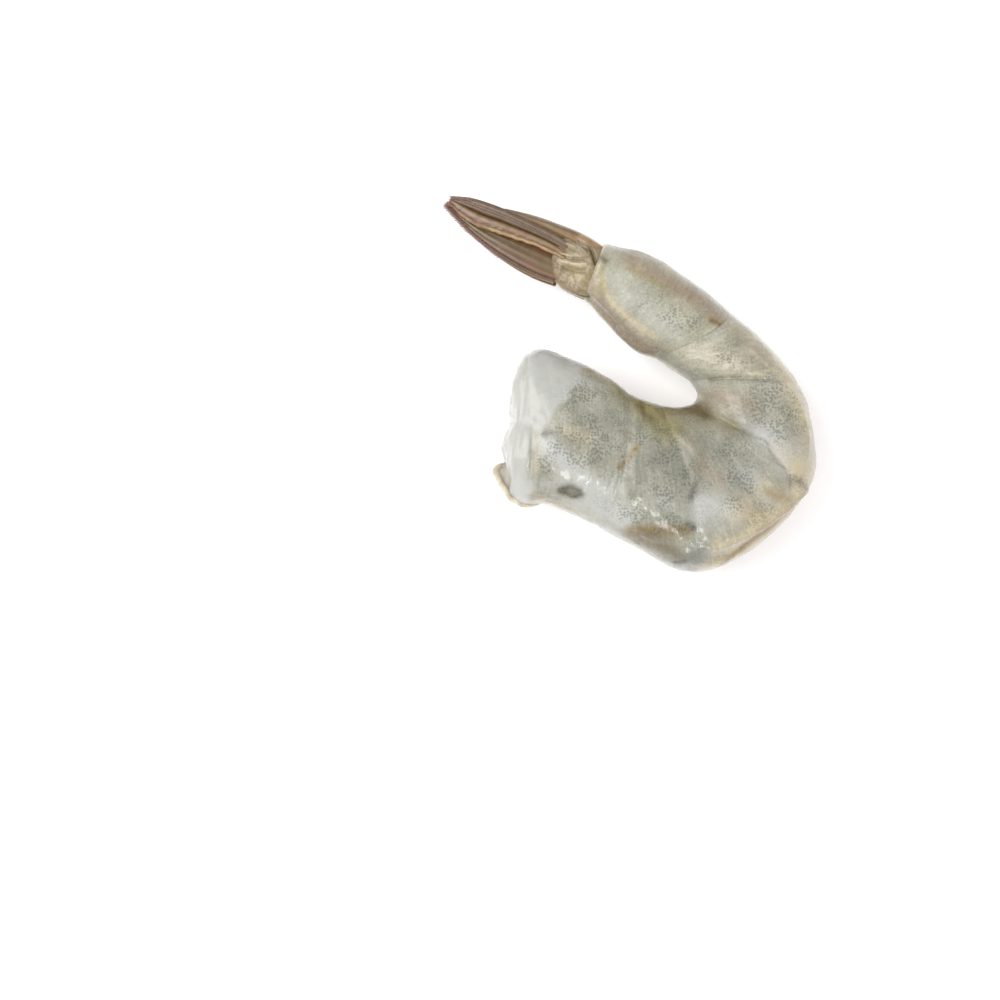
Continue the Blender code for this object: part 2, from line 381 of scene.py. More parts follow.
def paint(piece: bpy.types.Object, points: np.ndarray, strokes: tuple[Stroke, ...],
          grounds: dict[Stain, np.ndarray], reach: np.ndarray | float = 1.0) -> None:
    """Keep each stain's strength as an attribute of the piece.

    Args:
        piece: The piece to paint.
        points: Its vertices in plan millimetres.
        strokes: The strokes laid on it.
        grounds: Strengths that lie under the strokes, by stain.
        reach: How much of its strokes each vertex takes.
    """
    for stain in Stain:
        level = np.array(grounds.get(stain, np.zeros(len(points))))
        for stroke in strokes:
            if stroke.stain is stain:
                level = level + stroke.weight(points) * reach
        store_values(piece, stain.value, np.clip(level, 0.0, 1.0))


@dataclass(frozen=True)
class Fold:
    """A crease or a ridge along a plan line: depth (a ridge is negative) and half width."""

    line: tuple[Point, ...]
    depth: float
    width: float

    def sink(self, points: np.ndarray) -> np.ndarray:
        """How far the fold lowers each point."""
        return self.depth * bell(line_distance(points, self.line), self.width)


RIBS = (
    Rib((-30.6, -14.0), (-28.6, 5.2), 13.5, 0.5),
    Rib((-28.2, -16.3), (-25.6, 7.2), 15.5, -0.1),
    Rib((-23.8, -17.1), (-20.3, 5.8), 17.0, -0.4),
    Rib((-16.0, -20.7), (-14.2, 2.8), 17.6, -0.5),
    Rib((-9.3, -24.2), (-9.9, -0.1), 18.0, -0.5),
    Rib((-0.9, -28.0), (-6.4, -1.3), 18.0, -0.5),
    Rib((8.4, -24.2), (-2.9, -1.8), 17.6, -0.5),
    Rib((15.5, -17.6), (-0.8, -1.1), 17.0, -0.5),
    Rib((18.6, -11.7), (0.0, 0.0), 16.6, -0.4),
    Rib((18.1, -4.3), (-0.2, 1.1), 16.0, -0.4),
    Rib((16.2, 2.0), (-1.3, 2.6), 15.2, -0.4),
    Rib((10.9, 8.4), (-4.2, 4.8), 14.0, -0.3),
    Rib((4.8, 13.9), (-6.9, 6.4), 12.2, 0.5),
    Rib((-2.1, 19.0), (-10.6, 8.5), 11.2, 0.9),
    Rib((-8.0, 22.7), (-14.6, 12.5), 9.8, 1.6),
    Rib((-14.6, 24.2), (-17.6, 16.0), 8.4, 2.3),
)


@dataclass
class BodyForm:
    """The curled body without its relief, as a run of slices."""

    ribs: tuple[Rib, ...] = RIBS
    fullness: float = 0.86
    crest_lean: float = 0.16
    head_rib: float = 0.0
    shell_rib: float = 12.0
    rear_rib: float = 15.0
    fibre_step: tuple[float, float] = (6.0, 8.0)
    side_growth: float = 1.2

    def edge(self, place: np.ndarray, side: str) -> np.ndarray:
        """Plan points of the back or the belly at rib places."""
        columns = [read_spline([getattr(rib, side)[axis] for rib in self.ribs], place) for axis in (0, 1)]
        return np.stack(columns, axis=1)

    def thickness(self, place: np.ndarray) -> np.ndarray:
        """Thickness of the body at rib places."""
        return read_spline([rib.thickness for rib in self.ribs], place)

    def surface(self, place: np.ndarray, angle: np.ndarray) -> tuple[np.ndarray, np.ndarray]:
        """Smooth surface of the body.

        Args:
            place: Rib places.
            angle: Angles round the slice: 0 is the back, a quarter turn the upper flank.

        Returns:
            Points in plan millimetres and the ways they face.
        """
        back = self.edge(place, "back")
        belly = self.edge(place, "belly")
        thickness = self.thickness(place)
        underside = read_spline([rib.underside for rib in self.ribs], place)
        reach = (back - belly) / 2
        half_depth = np.linalg.norm(reach, axis=1)
        along_back = signed_power(np.cos(angle), self.fullness)
        rise = signed_power(np.sin(angle), self.fullness) * (1 + self.crest_lean * np.cos(angle))
        level = (back + belly) / 2 + reach * along_back[:, None]
        height = underside + thickness / 2 * (1 + rise)
        tilt = np.cos(angle) / half_depth**2
        facing = np.stack((reach[:, 0] * tilt, reach[:, 1] * tilt, np.sin(angle) * 2 / thickness), axis=1)
        facing /= np.linalg.norm(facing, axis=1)[:, None]
        return np.column_stack((level, height)), facing

    def unrolled(self, place: np.ndarray, angle: np.ndarray) -> np.ndarray:
        """Lay the flanks out flat from their crest, so that a flat pattern keeps its size down the sides.

        Args:
            place: Rib places.
            angle: Angles round the slice.

        Returns:
            Plan points in millimetres at height 0.
        """
        crest = self.surface(place, np.full_like(place, math.pi / 2))[0]
        out = self.surface(place, angle)[0] - crest
        drop = np.abs(np.abs(signed_power(np.sin(angle), self.fullness)) - 1)
        drop *= self.thickness(place) / 2
        out[:, 2] = 0.0
        run = np.linalg.norm(out, axis=1)
        grown = np.sqrt(run**2 + self.side_growth * drop**2)
        laid = crest + out * (grown / np.maximum(run, 1e-6))[:, None]
        laid[:, 2] = 0.0
        return laid

    def combed(self, place: np.ndarray, angle: np.ndarray) -> np.ndarray:
        """Places along the body and round it in millimetres, mirrored so that no line shows."""
        round_it = np.minimum(angle, 2 * math.pi - angle)
        return np.stack((place * self.fibre_step[0], round_it * self.fibre_step[1], 0 * place), axis=1)

    def centre(self, place: np.ndarray) -> np.ndarray:
        """Find the middle of each slice.

        Args:
            place: Rib places.

        Returns:
            Points in plan millimetres.
        """
        back = self.surface(place, np.zeros_like(place))[0]
        belly = self.surface(place, np.full_like(place, math.pi))[0]
        return (back + belly) / 2

    def heading(self, place: float) -> np.ndarray:
        """Find the level direction towards the tail, square to one slice.

        Args:
            place: The slice's rib place.

        Returns:
            A direction of length 1.
        """
        spot = np.array([place])
        across = (self.edge(spot, "back") - self.edge(spot, "belly"))[0]
        ahead = np.array([-across[1], across[0], 0.0])
        return ahead / np.linalg.norm(ahead)

    def spacing(self, place: np.ndarray, angle: np.ndarray, step: float = 0.05) -> np.ndarray:
        """Measure how many millimetres of surface one rib takes.

        Args:
            place: Rib places.
            angle: Angles round the slice.
            step: How far to each side it is measured, in ribs.

        Returns:
            One length for each place.
        """
        ahead = self.surface(place + step, angle)[0]
        behind = self.surface(place - step, angle)[0]
        return np.linalg.norm(ahead - behind, axis=1) / (2 * step)


def ball_places(piece: bpy.types.Object, rings: int) -> tuple[np.ndarray, np.ndarray]:
    """Read a ball's vertices as places on a body.

    Args:
        piece: A ball primitive of radius 1 at the origin.
        rings: Its number of rings.

    Returns:
        Shares from the first pole to the last, and angles round the slices.
    """
    points = read_points(piece)
    share = np.arccos(np.clip(points[:, 2], -1.0, 1.0)) / math.pi
    angle = np.arctan2(points[:, 1], points[:, 0]) % (2 * math.pi)
    return np.round(share * rings) / rings, angle


def name_added(name: str) -> bpy.types.Object:
    """Name the object that was just added, and its mesh.

    Args:
        name: Its name.

    Returns:
        The object.
    """
    piece = bpy.context.active_object
    piece.name = name
    piece.data.name = name
    return piece


def add_ball(name: str, segments: int, rings: int) -> bpy.types.Object:
    """Add a ball of radius 1, a start that its class shapes.

    Args:
        name: The piece's name.
        segments: Faces round it.
        rings: Faces from pole to pole.

    Returns:
        The ball.
    """
    deselect_all()
    bpy.ops.mesh.primitive_uv_sphere_add(segments=segments, ring_count=rings, radius=1.0)
    return name_added(name)


def add_sheet(name: str, along: int, across: int) -> tuple[bpy.types.Object, np.ndarray, np.ndarray]:
    """Add a flat sheet, a start that its class shapes.

    Args:
        name: The piece's name.
        along: Faces along it.
        across: Faces across it.

    Returns:
        The sheet, and each vertex's shares of the way along and across it.
    """
    deselect_all()
    bpy.ops.mesh.primitive_grid_add(x_subdivisions=along, y_subdivisions=across, size=1.0)
    piece = name_added(name)
    flat = read_points(piece)
    return piece, flat[:, 0] + 0.5, flat[:, 1] + 0.5


def store_skin(piece: bpy.types.Object, laid_out: np.ndarray, combed: np.ndarray,
               seam: np.ndarray | None = None) -> None:
    """Keep what the wet skin reads besides its stains.

    Args:
        piece: The piece.
        laid_out: Places on the skin laid flat, in millimetres, for the dots.
        combed: Places along and across the fibres, in millimetres.
        seam: Distance of each vertex from the nearest seam line, if there is one.
    """
    away = np.full(len(laid_out), NO_SEAM) if seam is None else np.minimum(seam, NO_SEAM)
    store_values(piece, "seam_line", away)
    store_places(piece, "laid_out", laid_out)
    store_places(piece, "combed", combed)


def to_frame(points: np.ndarray) -> np.ndarray:
    """Turn plan millimetres into the frame's metres."""
    shift = np.array([PLAN_CENTRE[0], PLAN_CENTRE[1], 0.0])
    return (points - shift) * MM


def dress(piece: bpy.types.Object, finish: bpy.types.Material, replaced: str | None) -> None:
    """Give a piece its finish and its place in the frame.

    Args:
        piece: The finished piece.
        finish: Its material.
        replaced: The solid that it stands for, if any.
    """
    piece.data.materials.clear()
    piece.data.materials.append(finish)
    make_active(piece)
    bpy.ops.object.shade_smooth()
    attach(piece, BODY)
    if replaced:
        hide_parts(replaced)


# Finishes


@dataclass(frozen=True)
class Tint:
    """A colour that comes in where a stain is strong: its strength and how ragged its edge is."""

    stain: Stain
    colour: str
    strength: float
    ragged: float = 0.35


@dataclass(frozen=True)
class Pattern:
    """A noise on the piece's own coordinates: the size of its lumps in millimetres, and its detail."""

    name: str
    pitch: float
    detail: float
    roughness: float = 0.5


@dataclass(frozen=True)
class WetSkin:
    """Raw shrimp muscle or thin shell under a film of water: milky and see-through, so that it has
    a soft inner glow, cloudy greys, fine dark pigment dots and sharp small highlights."""

    name: str = "raw_shrimp_flesh"
    skin: str = "818172"
    skin_pale: str = "9A998B"
    dot: str = "434840"
    seam: str = "5B5544"
    # Colour of the dark stain: bruised spots, and on the meat also one painted shadow.
    bruise_and_shadow: str = "3A3A30"
    dot_size: float = 0.34
    dot_pitch: float = 0.5
    dot_edge: float = 0.17
    dot_strength: float = 0.52
    fibre_pitch: tuple[float, float] = (0.6, 4.0)
    fibre_contrast: float = 0.12
    grain_contrast: float = 0.12
    grain_height: float = 0.08
    film_height: float = 0.1
    roughness: tuple[float, float] = (0.28, 0.45)
    inner_glow: float = 0.25
    water: float = 0.7
    patterns: tuple[Pattern, ...] = (
        Pattern("clouds", 4.0, 5.0),
        Pattern("mottle", 1.0, 6.0, 0.65),
        Pattern("speckle", 0.45, 3.0),
        Pattern("crowds", 2.4, 3.0),
        Pattern("grain", 0.45, 4.0),
        Pattern("film", 1.4, 3.0),
    )
    tints: tuple[Tint, ...] = (
        Tint(Stain.GREY, "71736C", 0.75),
        Tint(Stain.LILAC, "897A69", 0.85),
        # Milky white, laid also as painted sheen and highlights on the meat.
        Tint(Stain.WHITE, "A5A6A1", 0.95, 0.25),
        Tint(Stain.CREAM, "B3A88D", 0.9),
        Tint(Stain.TAN, "836F4B", 0.8, 0.45),
        Tint(Stain.YELLOW, "847C4F", 0.8),
        Tint(Stain.OLIVE, "5E5334", 0.9),
    )

    def sources(self, tree: bpy.types.NodeTree) -> Sockets:
        """Add the noises and read the piece's attributes.

        Args:
            tree: The material's nodes.

        Returns:
            Their outputs by name.
        """
        where = add_node(tree, "TexCoord", out="Object")
        read = {}
        for pattern in self.patterns:
            size = {"Scale": 1 / (pattern.pitch * MM), "Detail": pattern.detail}
            size["Roughness"] = pattern.roughness
            read[pattern.name] = add_node(tree, "TexNoise", {"Vector": where, **size})
        for name in ("laid_out", "combed"):
            read[name] = add_node(tree, "Attribute", out="Vector", attribute_name=name)
        for name in ("seam_line", *(stain.value for stain in Stain)):
            read[name] = add_node(tree, "Attribute", out="Fac", attribute_name=name)
        read["uneven"] = add_node(tree, "Math", {0: read["mottle"], 1: 0.5}, operation="SUBTRACT")
        return read

    def tinted(self, tree: bpy.types.NodeTree, read: Sockets) -> bpy.types.NodeSocket:
        """Lay the muscle's broad cloudiness, then the tints with their ragged edges.

        Args:
            tree: The material's nodes.
            read: The noises and attributes.

        Returns:
            The colour.
        """
        share = add_node(tree, "MapRange", {"Value": read["clouds"], "From Min": 0.36, "From Max": 0.66})
        ends = {6: linear(self.skin), 7: linear(self.skin_pale)}
        colour = add_node(tree, "Mix", {0: share, **ends}, out=2, data_type="RGBA")
        for tint in self.tints:
            ragged = {0: read["uneven"], 1: tint.ragged * 3, 2: 1.0}
            edge = add_node(tree, "Math", ragged, operation="MULTIPLY_ADD")
            share = add_node(tree, "Math", {0: edge, 1: read[tint.stain.value]}, operation="MULTIPLY")
            share = add_node(tree, "Math", {0: share, 1: tint.strength}, operation="MULTIPLY", use_clamp=True)
            mix = {0: share, 6: colour, 7: linear(tint.colour)}
            colour = add_node(tree, "Mix", mix, out=2, data_type="RGBA")
        return colour

    def shaded(self, tree: bpy.types.NodeTree, read: Sockets,
               colour: bpy.types.NodeSocket) -> bpy.types.NodeSocket:
        """Shade a colour with fibres that run round the body and a fine mottle, less where the white stain
        lies: milky flesh, and on the meat also painted sheen.

        Args:
            tree: The material's nodes.
            read: The noises and attributes.
            colour: The colour to shade.

        Returns:
            The shaded colour.
        """
        pitch = (1 / self.fibre_pitch[0], 1 / self.fibre_pitch[1], 0.0)
        stretched = add_node(tree, "VectorMath", {0: read["combed"], 1: pitch}, operation="MULTIPLY")
        weave = {"Vector": stretched, "Scale": 1.0, "Detail": 3.0, "Distortion": 1.2}
        fibres = add_node(tree, "TexNoise", weave)
        for pattern, contrast in ((fibres, self.fibre_contrast), (read["speckle"], self.grain_contrast)):
            span = {"From Min": 0.3, "From Max": 0.7, "To Min": 1 - contrast, "To Max": 1 + contrast}
            shade = add_node(tree, "MapRange", {"Value": pattern, **span})
            shade = add_node(tree, "Mix", {0: read[Stain.WHITE.value], 2: shade, 3: 1.0}, data_type="FLOAT")
            colour = add_node(tree, "VectorMath", {0: colour, "Scale": shade}, operation="SCALE")
        return colour

    def dots(self, tree: bpy.types.NodeTree, read: Sockets) -> bpy.types.NodeSocket:
        """Lay the pigment dots, each a spot in its own cell of the laid-out skin, larger where they crowd.

        Args:
            tree: The material's nodes.
            read: The noises and attributes.

        Returns:
            How strongly a dot shows.
        """
        cells = {"Vector": read["laid_out"], "Scale": 1 / self.dot_pitch, "Randomness": 0.85}
        away = add_node(tree, "TexVoronoi", cells, out="Distance", feature="F1", voronoi_dimensions="2D")
        patchy = add_node(tree, "MapRange", {"Value": read["crowds"], "From Min": 0.34, "From Max": 0.6})
        crowding = add_node(tree, "Math", {0: read[Stain.DOTS.value], 1: patchy}, operation="MULTIPLY")
        growth = {"To Min": self.dot_size * 0.55, "To Max": self.dot_size * 1.15}
        radius = add_node(tree, "MapRange", {"Value": crowding, **growth})
        inside = add_node(tree, "Math", {0: radius, 1: away}, operation="SUBTRACT")
        edge = {"From Min": -self.dot_edge, "From Max": self.dot_edge}
        spot = add_node(tree, "MapRange", {"Value": inside, **edge})
        depth = {"From Max": 0.75, "To Max": self.dot_strength}
        strength = add_node(tree, "MapRange", {"Value": crowding, **depth})
        return add_node(tree, "Math", {0: spot, 1: strength}, operation="MULTIPLY")

    def seams(self, tree: bpy.types.NodeTree, read: Sockets) -> bpy.types.NodeSocket:
        """Draw the thin seam lines, broken by the mottle.

        Args:
            tree: The material's nodes.
            read: The noises and attributes.

        Returns:
            How strongly a seam line shows.
        """
        fall = {"From Min": 0.05, "From Max": 0.5, "To Min": 0.45, "To Max": 0.0}
        reach = {"Value": read["seam_line"], **fall}
        line = add_node(tree, "MapRange", reach, interpolation_type="SMOOTHSTEP")
        gaps = add_node(tree, "MapRange", {"Value": read["mottle"], "From Min": 0.38, "From Max": 0.55})
        return add_node(tree, "Math", {0: line, 1: gaps}, operation="MULTIPLY")

    def bruises_and_shadow(self, tree: bpy.types.NodeTree, read: Sockets) -> bpy.types.NodeSocket:
        """Lay the dark stain with ragged edges: bruised spots, and on the meat one painted shadow in a gap.
        """
        edge = add_node(tree, "Math", {0: read["uneven"], 1: 2.0, 2: 0.9}, operation="MULTIPLY_ADD")
        return add_node(tree, "Math", {0: edge, 1: read["dark"]}, operation="MULTIPLY", use_clamp=True)

    def make(self) -> bpy.types.Material:
        """Build the material.

        Returns:
            The finished material.
        """
        finish, tree, shader = new_finish(self.name)
        read = self.sources(tree)
        colour = self.shaded(tree, read, self.tinted(tree, read))
        for marks, tint in ((self.dots, self.dot), (self.seams, self.seam), (self.bruises_and_shadow, self.bruise_and_shadow)):
            mix = {0: marks(tree, read), 6: colour, 7: linear(tint)}
            colour = add_node(tree, "Mix", mix, out=2, data_type="RGBA")
        grain = {"Height": read["grain"], "Strength": 0.6, "Distance": self.grain_height * MM}
        film = {"Height": read["film"], "Strength": 0.3, "Distance": self.film_height * MM}
        wet = {"From Min": 0.3, "From Max": 0.7, "To Min": self.roughness[0], "To Max": self.roughness[1]}
        plug(shader, {
            "Base Color": colour,
            "Normal": add_node(tree, "Bump", grain),
            "Roughness": add_node(tree, "MapRange", {"Value": read["mottle"], **wet}),
            "IOR": 1.38,
            "Subsurface Weight": self.inner_glow,
            "Subsurface Radius": (1.0, 0.85, 0.65),
            "Subsurface Scale": 1.0 * MM,
            "Coat Weight": self.water,
            "Coat Roughness": 0.14,
            "Coat IOR": WATER_IOR,
            "Coat Normal": add_node(tree, "Bump", film),
        })
        return finish


@dataclass(frozen=True)
class WetHorn:
    """Thin horny shell of the tail leaves, wet: brown and see-through, with fine lines along each
    leaf, a dark cord at its edge and a maroon tip."""

    name: str = "tail_horn"
    base: str = "6F573A"
    middle: str = "584022"
    tip: str = "5A342B"
    streak_dark: str = "41332A"
    streak_pale: str = "866A48"
    blotch_olive: str = "6B5D3A"
    blotch_red: str = "6E4C3A"
    lines_across: float = 10.0
    lines_along: float = 1.6
    blotch_pitch: float = 1.6
    grain_pitch: float = 0.4
    line_height: float = 0.1
    grain_height: float = 0.05
    stains: tuple[tuple[str, str], ...] = (
        ("cream", "987E5A"),
        ("lilac", "72645A"),
        ("olive", "5A4E32"),
        # Rust is the horn's own red-brown, and on the outer leaf also a painted shadow under the inner leaf's
        # rim.
        ("rust", "633E2B"),
        ("dark", "3C281A"),
    )

    def make(self) -> bpy.types.Material:
        """Build the material.

        Returns:
            The finished material.
        """
        finish, tree, shader = new_finish(self.name)
        where = add_node(tree, "TexCoord", out="Object")
        along = add_node(tree, "Attribute", out="Fac", attribute_name="along")
        across = add_node(tree, "Attribute", out="Fac", attribute_name="across")

        # Fine lines that run along the leaf, broad blotches and a fine grain.
        run = add_node(tree, "Math", {0: along, 1: self.lines_along}, operation="MULTIPLY")
        side = add_node(tree, "Math", {0: across, 1: self.lines_across}, operation="MULTIPLY")
        combed = add_node(tree, "CombineXYZ", {0: run, 1: side})
        lines = add_node(tree, "TexNoise", {"Vector": combed, "Scale": 1.0, "Detail": 4.0, "Roughness": 0.6})
        size = {"Scale": 1 / (self.blotch_pitch * MM), "Detail": 4.0}
        blotches = add_node(tree, "TexNoise", {"Vector": where, **size})
        size = {"Scale": 1 / (self.grain_pitch * MM), "Detail": 3.0}
        grain = add_node(tree, "TexNoise", {"Vector": where, **size})

        # Paler at the base and maroon at the very tip, then dark and pale lines, olive and red blotches.
        colour = linear(self.base)
        for source, low, high, most, tint in (
            (along, 0.0, 0.4, 1.0, self.middle),
            (along, 0.82, 1.0, 1.0, self.tip),
            (lines, 0.5, 0.34, 0.6, self.streak_dark),
            (lines, 0.55, 0.72, 0.5, self.streak_pale),
            (blotches, 0.52, 0.68, 0.7, self.blotch_olive),
            (blotches, 0.48, 0.34, 0.7, self.blotch_red),
        ):
            span = {"Value": source, "From Min": low, "From Max": high, "To Max": most}
            share = add_node(tree, "MapRange", span)
            mix = {0: share, 6: colour, 7: linear(tint)}
            colour = add_node(tree, "Mix", mix, out=2, data_type="RGBA")

        # Stains that the piece carries. On the outer leaf the first rust wash is partly painted shadow.
        for stain, tint in self.stains:
            level = add_node(tree, "Attribute", out="Fac", attribute_name=stain)
            colour = add_node(tree, "Mix", {0: level, 6: colour, 7: linear(tint)}, out=2, data_type="RGBA")
        ridges = add_node(tree, "Bump", {"Height": lines, "Strength": 0.4, "Distance": self.line_height * MM})
        fine = {"Height": grain, "Strength": 0.4, "Distance": self.grain_height * MM, "Normal": ridges}
        plug(shader, {
            "Base Color": colour,
            "Normal": add_node(tree, "Bump", fine),
            "Roughness": 0.35,
            "IOR": HORN_IOR,
            "Subsurface Weight": 0.12,
            "Subsurface Radius": (1.0, 0.7, 0.5),
            "Subsurface Scale": 0.6 * MM,
            "Coat Weight": 0.5,
            "Coat Roughness": 0.15,
            "Coat IOR": WATER_IOR,
        })
        return finish


@dataclass(frozen=True)
class FringeHair:
    """Fine bristles, wet and see-through: pale pinkish brown, darker where several lie together."""

    name: str = "fringe_hair"
    colour: str = "86685C"
    roughness: float = 0.4

    def make(self) -> bpy.types.Material:
        """Build the material.

        Returns:
            The finished material.
        """
        finish, _, shader = new_finish(self.name)
        plug(shader, {"Base Color": linear(self.colour), "Roughness": self.roughness, "IOR": HORN_IOR})
        return finish


@dataclass(frozen=True)
class TableTop:
    """Matt white board: even and pale, with no gloss of its own."""

    name: str = "matt_white_board"
    colour: str = "FBFAFB"
    roughness: float = 0.9
    gloss: float = 0.1

    def make(self) -> bpy.types.Material:
        """Build the material.

        Returns:
            The finished material.
        """
        finish, _, shader = new_finish(self.name)
        plug(shader, {"Base Color": linear(self.colour), "Roughness": self.roughness})
        plug(shader, {"Specular IOR Level": self.gloss})
        return finish


# The peeled meat


